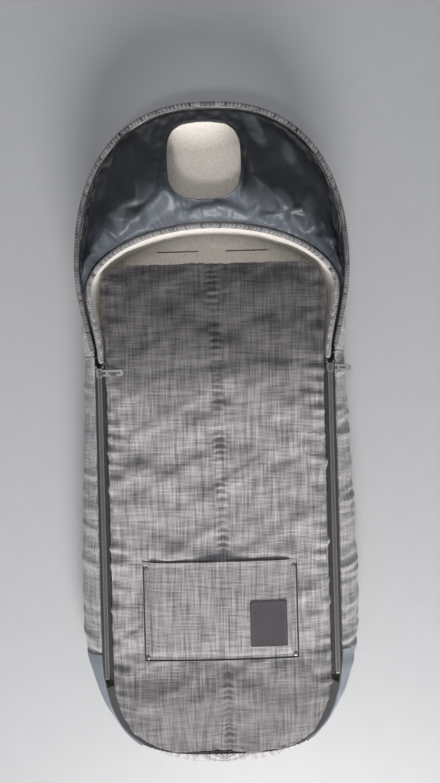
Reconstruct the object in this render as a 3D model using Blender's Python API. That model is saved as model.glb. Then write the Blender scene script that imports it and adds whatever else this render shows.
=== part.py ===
"""Stroller footmuff: a padded tub with a zipped-on front cover, a folding top flap and a tall head end.

Metres, +Z up. X runs across, +Y to the head end. The origin is on the floor, in the middle of the footmuff.
"""

import math

import bmesh
import bpy
from mathutils import Matrix, Vector

# Driving dimensions of the tub's plan, in metres
head_y = 0.255
head_half_width = 0.203
head_reach = 0.253
foot_y = -0.243
foot_half_width = 0.2195
foot_reach = 0.265
seam_half_width = 0.1845
seam_reach = 0.237

# Roundness of the plan's curves: 2 is an ellipse, more is squarer
head_power = 2.4
foot_power = 2.3
seam_power = 3.8
cover_foot_power = 3.9

# Heights
rim_z = 0.118
seam_z = 0.0785
toe_z = 0.056
bulge_z = 0.042
toe_bulge_z = 0.028
head_bulge_z = 0.098
base_inset = 0.014
rim_inset = 0.004

# Cloth and padding
gap = 0.0003
wall_cloth = 0.004
lining_fit = 0.0012
lining_pile = 0.006
back_cloth = 0.003
back_wadding = 0.010
back_pile = 0.007
head_turn = 0.0028
lining_floor_z = back_cloth + gap
back_top_z = back_cloth + back_wadding + back_pile + 2 * gap
lining_taper = 0.024

# Where the pieces meet along the footmuff
zip_head_y = 0.1285
fold_y = 0.131
head_wall_y = 0.145
boot_y = -0.315
toe_half_width = 0.132
hinge_y = -0.358

# Cover and flap
cover_half_width = 0.165
cover_reach = 0.232
flap_clear = 0.031
flap_half_width = head_half_width - flap_clear
flap_y = 0.279
flap_corner = 0.038
cover_edge_z = 0.084
cover_toe_edge_z = 0.0585
cover_crown = 0.011
crown_power = 2.6
cover_cloth = 0.002
cover_pile = 0.004
wadding_fit = 0.0009
cover_depth = 0.0135
toe_depth = 0.011
toe_lining_inset = 0.010
cover_toe_share = 0.985
channel_depth = 0.0025
channel_share = 0.3
side_roll = 0.005
hinge_clearance = 0.0005
hinge_z = cover_edge_z + cover_crown + hinge_clearance
cover_width_shares = (1.0, 0.985, 0.93, 0.8, 0.58, channel_share, 0.06, 0.0)

# Magnets behind the cover cloth
magnet_radius = 0.010
magnet_height = 0.003
magnet_inset = 0.026
magnet_x = flap_half_width - magnet_inset
magnet_from_fold = 0.1285
magnet_fit = 0.0004

# Zips
chain_x = 0.175
chain_z = 0.0775
chain_height = 0.0026
tooth_pitch = 0.0052
tooth_reach = 0.0024
tooth_chamfer_share = 0.2
spine_width = 0.0020
tape_height = 0.0010
tape_edge_fit = 0.0013
wall_tape_fit = 0.0024
toe_tape_fit = 0.0038
toe_tape_stations = 49
zip_foot_y = -0.344
stop_length = 0.004
stop_width = 0.0034
stop_height = 0.0015

# Sliders and pulls
slider_length = 0.0145
slider_y = zip_head_y - stop_length - slider_length / 2 - gap
slider_width = 0.0112
slider_tail_width = 0.0096
slider_plate = 0.0012
slider_room = 0.0034
slider_post_width = 0.0022
slider_post_length = 0.0040
slider_post_front = 0.0008
slider_lip_width = 0.0008
slider_lip_height = 0.0008
bail_length = 0.0110
bail_radius = 0.0009
bail_height = 0.0036
bail_sides = 10
eye_play = 0.00035
eye_wall = 0.0008
link_length = 0.0085
link_width = 0.0044
link_bar = 0.0013
link_pin_radius = 0.0008
pull_length = 0.0300
pull_width = 0.0095
pull_thickness = 0.0018
pull_slit_length = 0.0190
pull_slit_width = 0.0026
pull_rounding = 2.6
left_link_lift = math.radians(10)
right_pull_clearance = math.radians(12)

# Collar round the opening
collar_y = 0.235
collar_reach = 0.100
collar_foot_lean = 0.007
collar_clear = 0.0095
collar_pile = 0.007
collar_leg_share = 0.35
collar_low_z = 0.081
collar_high_z = 0.100
band_width = 0.0095
band_height = 0.003
band_shoulder_share = 0.2

# Satin sheet and its hole
satin_cloth = 0.002
satin_fit = 0.002
satin_end_y = 0.226
satin_drop = 0.005
satin_sag = 0.004
satin_down_shares = (0, 0.12, 0.35, 0.6, 0.85, 1)
collar_part_share = 0.63
hole_x = -0.008
hole_y = 0.424
hole_half_width = 0.0545
hole_half_length = 0.056
hole_power = 3.2
hem_width = 0.004
hem_height = 0.0012

# Head rim binding
binding_width = 0.007
binding_height = 0.005
binding_fit = 0.0012
binding_flank_share = 0.6
binding_end_y = 0.150

# Patch pocket, rivets and label
pocket_half_width = 0.1155
pocket_top_y = -0.1665
pocket_bottom_y = -0.3155
pocket_cloth = 0.0012
pocket_room = 0.0060
pocket_seam = 0.009
pocket_slope = 0.006
welt_height = 0.0016
welt_width = 0.006
rivet_inset = 0.0055
rivet_radius = 0.003
rivet_height = 0.0014
rivet_shank = 0.0011
rivet_hole = 0.0015
rivet_dome_share = 0.8
label_x = 0.0705
label_y = -0.260
label_width = 0.055
label_length = 0.066
label_thickness = 0.0016
label_border = 0.003
label_relief = 0.0004

# Slots for a harness
slot_width = 0.007
shoulder_slot_length = 0.070
shoulder_slot_x = 0.056
shoulder_slot_upper_y = 0.312
shoulder_slot_lower_y = 0.215
waist_slot_length = 0.045
waist_slot_x = 0.105
waist_slot_y = 0.030
crotch_slot_length = 0.055
crotch_slot_y = -0.050
side_slit_x = 0.147
side_slit_y = 0.300
side_slit_length = 0.022

# Places along the tub's rim, as shares of the way from the head's tip to the toe
head_share = 0.36
foot_share = 0.66

# The wall's curve, as shares of its heights and insets
low_rise_share = 0.45
low_inset_share = 0.35
high_rise_share = 0.62
high_inset_share = 0.30
lining_reach_share = 0.3

# How finely the shapes are drawn
overrun = 0.010
merge_distance = 0.00001
quarter_turn = math.pi / 2
halvings = 40
sharp_angle = math.radians(35)
rim_steps = 36
least_step_share = 0.2
disc_sides = 24
small_disc_sides = 12
sides = (("left", -1), ("right", 1))


def mix(low, high, share):
    return low + (high - low) * share


def smooth(share):
    share = min(max(share, 0), 1)
    return share * share * (3 - 2 * share)


def clear_scene():
    for obj in list(bpy.data.objects):
        bpy.data.objects.remove(obj, do_unlink=True)


def finish(name, colour, roughness, metallic):
    material = bpy.data.materials.new(name)
    material.use_nodes = True
    shader = material.node_tree.nodes["Principled BSDF"]
    shader.inputs["Base Color"].default_value = (*colour, 1)
    shader.inputs["Roughness"].default_value = roughness
    shader.inputs["Metallic"].default_value = metallic
    return material


finishes = {
    "melange": ((0.27, 0.26, 0.26), 0.9),
    "lining": ((0.80, 0.78, 0.73), 1.0),
    "wadding": ((0.85, 0.85, 0.84), 1.0),
    "satin": ((0.05, 0.06, 0.08), 0.35),
    "nylon": ((0.24, 0.26, 0.30), 0.55),
    "tape": ((0.03, 0.03, 0.035), 0.8),
    "teeth": ((0.20, 0.19, 0.19), 0.4),
    "gunmetal": ((0.25, 0.25, 0.26), 0.3),
    "leather": ((0.09, 0.08, 0.09), 0.6),
    "magnet": ((0.5, 0.5, 0.5), 0.3),
}


def add_object(name, mesh, kind, parent=None):
    """Puts a mesh that is drawn in world places into the scene, with its own material."""
    colour, roughness = finishes[kind]
    metallic = 1.0 if kind in ("gunmetal", "magnet") else 0.0
    mesh.materials.append(finish(name, colour, roughness, metallic))
    obj = bpy.data.objects.new(name, mesh)
    bpy.context.scene.collection.objects.link(obj)
    if parent is not None:
        mesh.transform(parent.matrix_world.inverted())
        obj.parent = parent
    return obj


def add_pivot(name, place, parent=None):
    """An empty on a joint's axis, which carries the pieces that turn or slide there."""
    pivot = bpy.data.objects.new(name, None)
    bpy.context.scene.collection.objects.link(pivot)
    if parent is not None:
        pivot.parent = parent
        pivot.location = Vector(place) - parent.matrix_world.translation
    else:
        pivot.location = place
    bpy.context.view_layer.update()
    return pivot


def to_mesh(bm, name):
    bmesh.ops.recalc_face_normals(bm, faces=bm.faces)
    mesh = bpy.data.meshes.new(name)
    bm.to_mesh(mesh)
    bm.free()
    mesh.shade_smooth()
    mesh.set_sharp_from_angle(angle=sharp_angle)
    return mesh


def loft(name, rings, around=False):
    """Skins rings of equal length and closes the two ends, or joins the last ring to the first."""
    bm = bmesh.new()
    rows = [[bm.verts.new(point) for point in ring] for ring in rings]
    pairs = list(zip(rows, rows[1:]))
    if around:
        pairs.append((rows[-1], rows[0]))
    for low, high in pairs:
        for i in range(len(low)):
            j = (i + 1) % len(low)
            bm.faces.new((low[i], low[j], high[j], high[i]))
    if not around:
        bm.faces.new(rows[0])
        bm.faces.new(rows[-1])
    return to_mesh(bm, name)


def prism(name, outline, low_z, high_z):
    return loft(name, [[(x, y, z) for x, y in outline] for z in (low_z, high_z)])


def cutter(name, mesh):
    obj = bpy.data.objects.new(name, mesh)
    bpy.context.scene.collection.objects.link(obj)
    obj.hide_render = True
    obj.display_type = "WIRE"
    return obj


def combine(obj, other, operation):
    modifier = obj.modifiers.new(operation.lower(), "BOOLEAN")
    modifier.operation = operation
    modifier.solver = "EXACT"
    modifier.object = other


# The tub's plan: an arch at the head, straight flanks and an arch at the toe


def arch(angle, half_width, reach, power):
    x = half_width * max(math.cos(angle), 0) ** (2 / power)
    y = reach * max(math.sin(angle), 0) ** (2 / power)
    return x, y


def outline(s):
    """The widest line of the tub: s is 0 at the head's tip, 1 at the toe, and negative on the left."""
    if s > 1:
        s -= 2
    if s < -1:
        s += 2
    u = abs(s)
    if u <= head_share:
        x, y = arch(quarter_turn * (1 - u / head_share), head_half_width, head_reach, head_power)
        y += head_y
    elif u < foot_share:
        share = (u - head_share) / (foot_share - head_share)
        x = mix(head_half_width, foot_half_width, smooth(share))
        y = mix(head_y, foot_y, share)
    else:
        angle = quarter_turn * (u - foot_share) / (1 - foot_share)
        x, y = arch(angle, foot_half_width, foot_reach, foot_power)
        y = foot_y - y
    return Vector((math.copysign(x, s), y))


def outward(s):
    """The direction square to the outline here, away from the footmuff."""
    step = 1 / 512
    along = outline(s + step) - outline(s - step)
    return Vector((-along.y, along.x)).normalized()


def share_at(y):
    """The place on the right side of the outline that has this y."""
    if y >= foot_y:
        return mix(head_share, foot_share, (head_y - y) / (head_y - foot_y))
    angle = math.asin(((foot_y - y) / foot_reach) ** (foot_power / 2))
    return mix(foot_share, 1, angle / quarter_turn)


def share_of_toe(x):
    """The place on the toe's right half that has this x."""
    angle = math.acos((x / foot_half_width) ** (foot_power / 2))
    return mix(foot_share, 1, angle / quarter_turn)


def beyond_seam(point):
    """Over 0 outside the line that the walls' top edges follow, under 0 inside it."""
    x, y = abs(point.x), point.y
    if y < foot_y:
        return (x / seam_half_width) ** seam_power + ((foot_y - y) / seam_reach) ** seam_power - 1
    spread = smooth((y - zip_head_y) / (head_y - zip_head_y))
    return x / mix(seam_half_width, head_half_width - rim_inset, spread) - 1


def seam_x(y):
    """Half of the width between the walls' top edges at this y."""
    if y < foot_y:
        return seam_half_width * (1 - ((foot_y - y) / seam_reach) ** seam_power) ** (1 / seam_power)
    spread = smooth((y - zip_head_y) / (head_y - zip_head_y))
    return mix(seam_half_width, head_half_width - rim_inset, spread)


def top_inset(s):
    """How far the wall's top edge lies inside its widest line."""
    if abs(s) < head_share:
        return rim_inset
    low, high = 0, head_half_width / 2
    for _ in range(halvings):
        middle = (low + high) / 2
        if beyond_seam(outline(s) - outward(s) * middle) > 0:
            low = middle
        else:
            high = middle
    return low


def wall_heights(y):
    """Height of the top edge and of the widest line."""
    up = smooth((y - zip_head_y) / (head_y - zip_head_y))
    down = smooth((foot_y - seam_reach / 3 - y) / (seam_reach * 2 / 3))
    top = mix(mix(seam_z, rim_z, up), toe_z, down)
    widest = mix(mix(bulge_z, head_bulge_z, up), toe_bulge_z, down)
    return top, widest


def wall_line(s, depth, floor_z, reach_share=1):
    """One face of the wall as (outward distance, height), this deep inside its outer face."""
    y = outline(s).y
    top, widest = wall_heights(y)
    inset = top_inset(s)
    outer = [
        (-base_inset, 0),
        (-base_inset * low_inset_share, widest * low_rise_share),
        (0, widest),
        (-inset * high_inset_share, mix(widest, top, high_rise_share)),
        (-inset, top),
    ]
    line = []
    for i, (r, z) in enumerate(outer):
        before, after = outer[max(i - 1, 0)], outer[min(i + 1, len(outer) - 1)]
        slope = Vector((after[0] - before[0], after[1] - before[1])).normalized()
        line.append((r - slope.y * depth, z + slope.x * depth))
    line[0] = (line[0][0], floor_z)
    line[-1] = tuple(mix(a, b, reach_share) for a, b in zip(line[-2], line[-1]))
    return line


def on_wall(s, r, z):
    """The point at this place along the outline, outward distance and height."""
    place = outline(s) + outward(s) * r
    return place.x, place.y, z


def wall_ring(s, near, far, floor_z, reach_share):
    line = wall_line(s, near, floor_z, reach_share) + wall_line(s, far, floor_z, reach_share)[::-1]
    return [on_wall(s, r, z) for r, z in line]


def stations(first, last, count):
    return [mix(first, last, i / (count - 1)) for i in range(count)]


def rim_stations(first, last):
    """The ends and the even steps between them, which all the walls and layers share."""
    low, high = sorted((first, last))
    inner = [i / rim_steps for i in range(math.ceil(low * rim_steps), math.floor(high * rim_steps) + 1)]
    least = least_step_share / rim_steps
    found = [low] + [s for s in inner if low + least < s < high - least] + [high]
    return found if first < last else found[::-1]


def add_wall(name, kind, first, last, near=0, thickness=wall_cloth, floor_z=0, reach_share=1):
    """A band of cloth along the outline, from one depth inside the wall's outer face to the next."""
    rings = [wall_ring(s, near, near + thickness, floor_z, reach_share) for s in rim_stations(first, last)]
    return add_object(name, loft(name, rings), kind)


def walls():
    joint = gap / (head_reach + foot_reach)
    waist = share_at(head_wall_y)
    boot = share_at(boot_y)
    toe = share_of_toe(toe_half_width)
    fold = share_at(fold_y - collar_clear)
    add_wall("head_wall", "melange", -waist, waist)
    add_wall("toe_wall", "melange", toe, 2 - toe)
    lining_near = wall_cloth + lining_fit
    fleece = (lining_near, lining_pile, lining_floor_z, lining_reach_share)
    add_wall("boot_lining", "lining", boot, 2 - boot, *fleece)
    for side, sign in sides:
        add_wall(f"{side}_side_wall", "melange", sign * (waist + joint), sign * (boot - joint))
        add_wall(f"{side}_boot_gusset", "nylon", sign * boot, sign * (toe - joint))
        lining = f"{side}_side_lining"
        add_wall(lining, "lining", sign * fold, sign * (boot - joint), *fleece)


# The back panel: three layers cut through by the harness slots


def inner_outline(depth):
    """The plan inside the walls, at the floor."""
    points = []
    for s in rim_stations(-1, 1)[:-1]:
        r = wall_line(s, depth, 0)[0][0]
        points.append(on_wall(s, r - gap, 0)[:2])
    return points


def layer_outline(depth):
    """The plan inside the walls, drawn in further where the walls are lined."""
    points = []
    for s in rim_stations(-1, 1)[:-1]:
        lined = smooth((head_wall_y + lining_taper - outline(s).y) / lining_taper)
        r = wall_line(s, mix(wall_cloth, depth, lined), 0)[0][0]
        points.append(on_wall(s, r - 2 * gap, 0)[:2])
    return points


def straight_ended(points):
    """The plan with a straight end at the head, which leaves room for the fleece that turns up there."""
    end = max(y for _, y in points) - head_turn
    return [(x, min(y, end)) for x, y in points]


def slot_outline(x, y, length, across):
    """A slot with round ends, along X or along Y."""
    half, radius = length / 2 - slot_width / 2, slot_width / 2
    points = []
    for end, turn in ((1, -quarter_turn), (-1, quarter_turn)):
        for i in range(5):
            angle = turn + math.pi * i / 4
            along = end * half + radius * math.cos(angle)
            aside = radius * math.sin(angle)
            points.append((x + along, y + aside) if across else (x - aside, y + along))
    return points


def slot_places():
    """Middle, length and direction of each slot that goes through the back."""
    places = [(0, crotch_slot_y, crotch_slot_length, True)]
    for _, sign in sides:
        places.append((sign * shoulder_slot_x, shoulder_slot_upper_y, shoulder_slot_length, True))
        places.append((sign * shoulder_slot_x, shoulder_slot_lower_y, shoulder_slot_length, True))
        places.append((sign * waist_slot_x, waist_slot_y, waist_slot_length, False))
    return places


def joined_prisms(name, outlines, low_z, high_z):
    """Several prisms between the same two heights, as one mesh."""
    bm = bmesh.new()
    for points in outlines:
        low = [bm.verts.new((x, y, low_z)) for x, y in points]
        high = [bm.verts.new((x, y, high_z)) for x, y in points]
        for i in range(len(low)):
            j = (i + 1) % len(low)
            bm.faces.new((low[i], low[j], high[j], high[i]))
        bm.faces.new(low)
        bm.faces.new(high)
    return to_mesh(bm, name)


def back_panel():
    slots = [slot_outline(*place) for place in slot_places()]
    slots = joined_prisms("slot_cutters", slots, -overrun, back_top_z + overrun)
    slot_cutters = cutter("slot_cutters", slots)
    lined = wall_cloth + lining_fit + lining_pile
    layers = (
        ("back_shell", "nylon", inner_outline(wall_cloth), 0, back_cloth),
        ("back_wadding", "wadding", layer_outline(lined), lining_floor_z, lining_floor_z + back_wadding),
        ("back_lining", "lining", layer_outline(lined), lining_floor_z + back_wadding + gap, back_top_z),
    )
    for name, kind, points, low_z, high_z in layers:
        layer = add_object(name, prism(name, straight_ended(points), low_z, high_z), kind)
        combine(layer, slot_cutters, "DIFFERENCE")
    slits = [slot_outline(sign * side_slit_x, side_slit_y, side_slit_length, False) for _, sign in sides]
    slit_cutters = joined_prisms("slit_cutters", slits, back_top_z - back_pile / 2, back_top_z + overrun)
    combine(layer, cutter("slit_cutters", slit_cutters), "DIFFERENCE")


# The collar: a fleece wall from the back panel up to a melange band round the opening


def collar_place(t):
    """Outer top line of the collar: t runs from -1, at the left zip, over the arch to 1."""
    u = 1 - abs(t)
    if u < collar_leg_share:
        y = mix(fold_y + 2 * gap, collar_y, u / collar_leg_share)
        x = seam_x(y) - collar_clear
    else:
        angle = quarter_turn * (u - collar_leg_share) / (1 - collar_leg_share)
        x, y = arch(angle, seam_x(collar_y) - collar_clear, collar_reach, 2)
        y += collar_y
    height = mix(collar_low_z, collar_high_z, smooth(u / collar_leg_share))
    return Vector((math.copysign(x, t), y)), height


def collar_frame(t):
    """Place on the collar's outer line, the direction away from the opening, and the height."""
    step = 1 / 512
    low, high = max(t - step, -1), min(t + step, 1)
    along = collar_place(high)[0] - collar_place(low)[0]
    place, height = collar_place(t)
    return place, Vector((-along.y, along.x)).normalized(), height


def collar():
    wall, band = [], []
    for t in stations(-1, 1, 33):
        place, out, height = collar_frame(t)
        lean = collar_foot_lean * max(out.y, 0)
        foot_z = back_top_z + gap
        outer, inner = place, place - out * collar_pile
        wall.append(
            [
                (*(outer + out * lean), foot_z),
                (*outer, height),
                (*inner, height),
                (*(inner + out * lean), foot_z),
            ]
        )
        overhang = (band_width - collar_pile) / 2
        outer, inner = place + out * overhang, place - out * (collar_pile + overhang)
        low, high = height + gap, height + gap + band_height
        shoulder = (outer - inner) * band_shoulder_share
        band.append(
            [
                (*outer, low),
                (*(outer - shoulder), high),
                (*(inner + shoulder), high),
                (*inner, low),
            ]
        )
    add_object("collar_lining", loft("collar_lining", wall), "lining")
    add_object("collar_band", loft("collar_band", band), "melange")


# The satin sheet between the head rim and the collar, with the hole in it


def satin_place(side_share, down_share, drop=0):
    """A point of the sheet: side_share -1 to 1 along the arch, down_share 0 at the rim to 1 at the collar."""
    s = side_share * share_at(satin_end_y)
    top, _ = wall_heights(outline(s).y)
    rim = outline(s) - outward(s) * (rim_inset + wall_cloth + satin_fit)
    collar_t = side_share * collar_part_share
    place, out, height = collar_frame(collar_t)
    edge = place + out * ((band_width - collar_pile) / 2 + 2 * gap)
    flat = rim.lerp(edge, down_share)
    level = mix(top - satin_drop, height + gap, down_share)
    sag = satin_sag * math.sin(math.pi * down_share)
    return flat.x, flat.y, level - sag - drop


def hole_outline(half_width, half_length, count=28):
    """A rounded square in plan."""
    points = []
    for i in range(count):
        angle = 2 * math.pi * i / count
        x, y = arch(math.acos(abs(math.cos(angle))), half_width, half_length, hole_power)
        x, y = math.copysign(x, math.cos(angle)), math.copysign(y, math.sin(angle))
        points.append((hole_x + x, hole_y + y))
    return points


def satin_height(x, y):
    """Height of the sheet above a point of the plan, from the point of the sheet nearest to it."""
    best = min(
        (satin_place(a / 24, b / 16) for a in range(-24, 25) for b in range(17)),
        key=lambda p: (p[0] - x) ** 2 + (p[1] - y) ** 2,
    )
    return best[2]


def satin():
    rings = []
    for side_share in stations(-1, 1, 31):
        upper = [satin_place(side_share, d) for d in satin_down_shares]
        lower = [satin_place(side_share, d, satin_cloth) for d in satin_down_shares[::-1]]
        rings.append(upper + lower)
    sheet = add_object("satin_sheet", loft("satin_sheet", rings), "satin")
    hole = prism("hole_cutter", hole_outline(hole_half_width, hole_half_length), 0, rim_z + overrun)
    combine(sheet, cutter("hole_cutter", hole), "DIFFERENCE")
    near = hole_outline(hole_half_width + gap, hole_half_length + gap)
    far = hole_outline(hole_half_width + hem_width, hole_half_length + hem_width)
    rings = []
    for (x0, y0), (x1, y1) in zip(near, far):
        low = max(satin_height(x0, y0), satin_height(x1, y1)) + 3 * gap
        high = low + hem_height
        rings.append([(x0, y0, low), (x1, y1, low), (x1, y1, high), (x0, y0, high)])
    add_object("hole_hem", loft("hole_hem", rings, around=True), "satin")


def head_binding():
    """The melange binding along the head wall's top edge."""
    rings = []
    end = share_at(binding_end_y)
    for s in rim_stations(-end, end):
        top, _ = wall_heights(outline(s).y)
        r = -top_inset(s) - wall_cloth / 2
        half = binding_width / 2
        low = top + binding_fit
        high = low + binding_height
        flank = mix(low, high, binding_flank_share)
        left = [(-half, low), (-half, flank), (-half / 2, high)]
        right = [(-dr, z) for dr, z in left[::-1]]
        rings.append([on_wall(s, r + dr, z) for dr, z in left + right])
    add_object("head_binding", loft("head_binding", rings), "melange")


# The front: cover, flap and toe piece, each with cloth, wadding and lining


def cover_x(y):
    """Half of the front's width at this y."""
    if y < foot_y:
        left_over = 1 - ((foot_y - y) / cover_reach) ** cover_foot_power
        return cover_half_width * max(left_over, 0) ** (1 / cover_foot_power)
    if y <= fold_y:
        return cover_half_width
    width = mix(cover_half_width, flap_half_width, smooth((y - fold_y) / (collar_y - fold_y)))
    past = (y - (flap_y - flap_corner)) / flap_corner
    if past > 0:
        width -= flap_corner * (1 - math.sqrt(max(1 - past * past, 0)))
    return width


def cover_levels(y):
    """Height of the front's edge and its crown at this y."""
    toe = smooth((foot_y - cover_reach / 2 - y) / (cover_reach / 2))
    head = smooth((y - (flap_y - flap_corner)) / flap_corner)
    edge = mix(cover_edge_z, cover_toe_edge_z, toe)
    crown = mix(mix(cover_crown, cover_crown / 3, head), 0, toe)
    return edge, crown


def cover_underside(y):
    """Height of the seam between the front's wadding and its lining."""
    toe = smooth((foot_y - cover_reach / 2 - y) / (cover_reach / 2))
    return cover_levels(y)[0] - mix(cover_depth, toe_depth, toe)


def crown_height(x, y):
    """Height of the front's outer cloth, without its centre seam."""
    edge, crown = cover_levels(y)
    half = max(cover_x(y), cover_half_width / 2)
    return edge + crown * (1 - min(abs(x) / half, 1) ** crown_power)


def cover_height(x, y):
    """Height of the front's outer cloth, with the channel of the centre seam."""
    half = max(cover_x(y), cover_half_width / 2)
    return crown_height(x, y) - channel_depth * max(1 - abs(x) / (half * channel_share), 0) ** 2


def front_section(y, inset, low_z):
    """The front's outline across at this y, this far inside its cloth, down to low_z at the edges."""
    half = cover_x(y) - inset
    points = [(-half, y, low_z)]
    shares = [-share for share in cover_width_shares] + list(cover_width_shares[-2::-1])
    for share in shares:
        x = share * half
        roll = side_roll * max(abs(share) - cover_width_shares[1], 0) / (1 - cover_width_shares[1])
        points.append((x, y, cover_height(x, y) - inset - roll))
    points.append((half, y, low_z))
    return points


def front_piece(name, first_y, last_y, count, pivot, lining_inset=0.0, magnets=()):
    """Cloth, wadding and lining of one piece of the front."""
    cloth, filling, lining = [], [], []
    for i in range(count):
        y = mix(first_y, last_y, math.sin(quarter_turn * i / (count - 1)))
        low_z = cover_underside(y)
        outer = front_section(y, 0, low_z)
        inner = front_section(y, cover_cloth, low_z)
        cloth.append(outer + inner[::-1])
        filling.append(front_section(y, cover_cloth + wadding_fit, low_z))
        half = cover_x(y) - lining_inset
        lining.append(
            [
                (-half, y, low_z - gap - cover_pile),
                (half, y, low_z - gap - cover_pile),
                (half, y, low_z - gap),
                (-half, y, low_z - gap),
            ]
        )
    add_object(f"{name}_cloth", loft(name, cloth), "melange", pivot)
    wadding = add_object(f"{name}_wadding", loft(name, filling), "wadding", pivot)
    add_object(f"{name}_lining", loft(name, lining), "lining", pivot)
    for side, sign in sides if magnets else ():
        x, y = sign * magnet_x, magnets[0]
        corners = [(x + dx * magnet_radius, y + dy * magnet_radius) for dx in (-1, 1) for dy in (-1, 1)]
        seat_z = min(cover_height(*corner) for corner in corners) - cover_cloth - wadding_fit - magnet_height
        disc = disc_mesh("magnet", magnet_radius, magnet_height, disc_sides)
        disc.transform(placed(x, y, seat_z))
        add_object(f"{side}_{name}_magnet", disc, "magnet", pivot)
        recess = disc_mesh("recess", magnet_radius + magnet_fit, magnet_height * 3, disc_sides)
        recess.transform(placed(x, y, seat_z - magnet_fit))
        hole = cutter(f"{side}_{name}_recess", recess)
        combine(wadding, hole, "DIFFERENCE")


def placed(x, y, z):
    return Matrix.Translation((x, y, z))


def spokes(count):
    """Unit directions, evenly round a circle."""
    return [(math.cos(math.tau * i / count), math.sin(math.tau * i / count)) for i in range(count)]


def disc_mesh(name, radius, height, count):
    return prism(name, [(radius * c, radius * s) for c, s in spokes(count)], 0, height)


def tape_edge(s):
    """Outer edge of the tape round the toe."""
    return outline(s) - outward(s) * (top_inset(s) + toe_tape_fit)


def tape_share(y):
    """Where the tape's outer edge comes down to this y, on the right side."""
    low, high = foot_share, 1
    for _ in range(halvings):
        middle = (low + high) / 2
        if tape_edge(middle).y > y:
            low = middle
        else:
            high = middle
    return high


def toe_tape():
    """The black tape that runs round the toe between the front and the walls."""
    rings = []
    start = tape_share(hinge_y - wall_cloth)
    for s in stations(start, 2 - start, toe_tape_stations):
        seam = tape_edge(s)
        top, _ = wall_heights(seam.y)
        inner = nearest_front(seam, outward(s))
        level = top - seam_z + chain_z - tape_height / 2
        rings.append(
            [
                (*seam, level),
                (*inner, level),
                (*inner, level + tape_height),
                (*seam, level + tape_height),
            ]
        )
    add_object("toe_tape", loft("toe_tape", rings), "tape")


def nearest_front(seam, out):
    """The first point inwards from the seam that the front's edge leaves free."""
    low, high = 0, seam_half_width / 3
    for _ in range(halvings):
        middle = (low + high) / 2
        probe = seam - out * middle
        if abs(probe.x) > cover_x(probe.y):
            low = middle
        else:
            high = middle
    return seam - out * max(low - wall_tape_fit, tape_edge_fit)


# The zips: tape and teeth on the tub and on the front, stops, sliders and pulls


def box(bm, low, high):
    """Adds a plain block between two corners."""
    made = bmesh.ops.create_cube(bm, size=1)["verts"]
    for vert in made:
        vert.co = [mix(a, b, share + 0.5) for a, b, share in zip(low, high, vert.co)]
    return made


def box_mesh(name, low, high, bevel=0.0):
    bm = bmesh.new()
    box(bm, low, high)
    if bevel:
        bmesh.ops.bevel(bm, geom=bm.edges[:], offset=bevel, segments=1, affect="EDGES")
    return to_mesh(bm, name)


def comb_outline(side_of_chain, first_y, last_y):
    """A row of teeth in plan: the spine's straight back, then tooth after tooth towards the other row."""
    tooth = tooth_pitch / 2 - gap
    chamfer = tooth * tooth_chamfer_share
    start = 0 if side_of_chain > 0 else tooth_pitch / 2
    back = side_of_chain * (tooth_reach / 2 + gap + spine_width)
    root = side_of_chain * (tooth_reach / 2 + gap)
    tip = -side_of_chain * tooth_reach / 2
    points = [(back, first_y), (back, last_y), (root, last_y)]
    count = int((last_y - first_y - tooth_pitch) / tooth_pitch)
    for i in range(count, -1, -1):
        low = first_y + start + i * tooth_pitch + gap
        high = low + tooth
        points += [(root, high), (tip, high - chamfer), (tip, low + chamfer), (root, low)]
    points.append((root, first_y))
    return points


def tape_levels():
    """Underside and top of the zip tapes."""
    return chain_z - tape_height / 2, chain_z + tape_height / 2


def zip_rows(side, sign, cover_pivot):
    """Tape, teeth and stops of both halves of one zip."""
    half_height = chain_height / 2
    for part, way, pivot in (("tub", sign, None), ("cover", -sign, cover_pivot)):
        outline_points = [(chain_x * sign + x, y) for x, y in comb_outline(way, zip_foot_y, slider_y)]
        teeth = prism("teeth", outline_points, chain_z - half_height, chain_z + half_height)
        add_object(f"{side}_{part}_teeth", teeth, "teeth", pivot)
        near = chain_x * sign + way * (tooth_reach / 2 + spine_width + 2 * gap)
        edge_x, fit = (seam_x, wall_tape_fit) if part == "tub" else (cover_x, tape_edge_fit)
        ys = stations(foot_y, zip_foot_y - stop_length, 6)
        far = [(sign * edge_x(y) - way * fit, y) for y in [zip_head_y] + ys]
        strip = prism("tape", [(near, ys[-1]), (near, zip_head_y)] + far, *tape_levels())
        add_object(f"{side}_{part}_tape", strip, "tape", pivot)
        stop_mid = chain_x * sign + way * (tooth_reach / 2 + spine_width + stop_width / 2 + gap)
        low = (stop_mid - stop_width / 2, zip_head_y - stop_length, chain_z + tape_height / 2 + gap)
        high = (stop_mid + stop_width / 2, zip_head_y - gap, chain_z + tape_height / 2 + gap + stop_height)
        stop = box_mesh("stop", low, high, stop_width / 6)
        add_object(f"{side}_{part}_top_stop", stop, "gunmetal", pivot)
    half = tooth_reach / 2 + spine_width
    low = (chain_x * sign - half, zip_foot_y - stop_length, chain_z - half_height)
    high = (chain_x * sign + half, zip_foot_y - gap, chain_z + half_height)
    add_object(f"{side}_bottom_stop", box_mesh("stop", low, high, half_height / 3), "gunmetal")


def slider_plate_outline():
    """The slider's plan, wide at the head where the rows part and narrower at the tail."""
    half, head, tail = slider_length / 2, slider_width / 2, slider_tail_width / 2
    cut = slider_tail_width / 5
    right = [(tail - cut, -half), (tail, -half + cut), (head, half / 3)]
    right += [(head, half - cut), (head - cut, half)]
    return right + [(-x, y) for x, y in right[::-1]]


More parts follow.
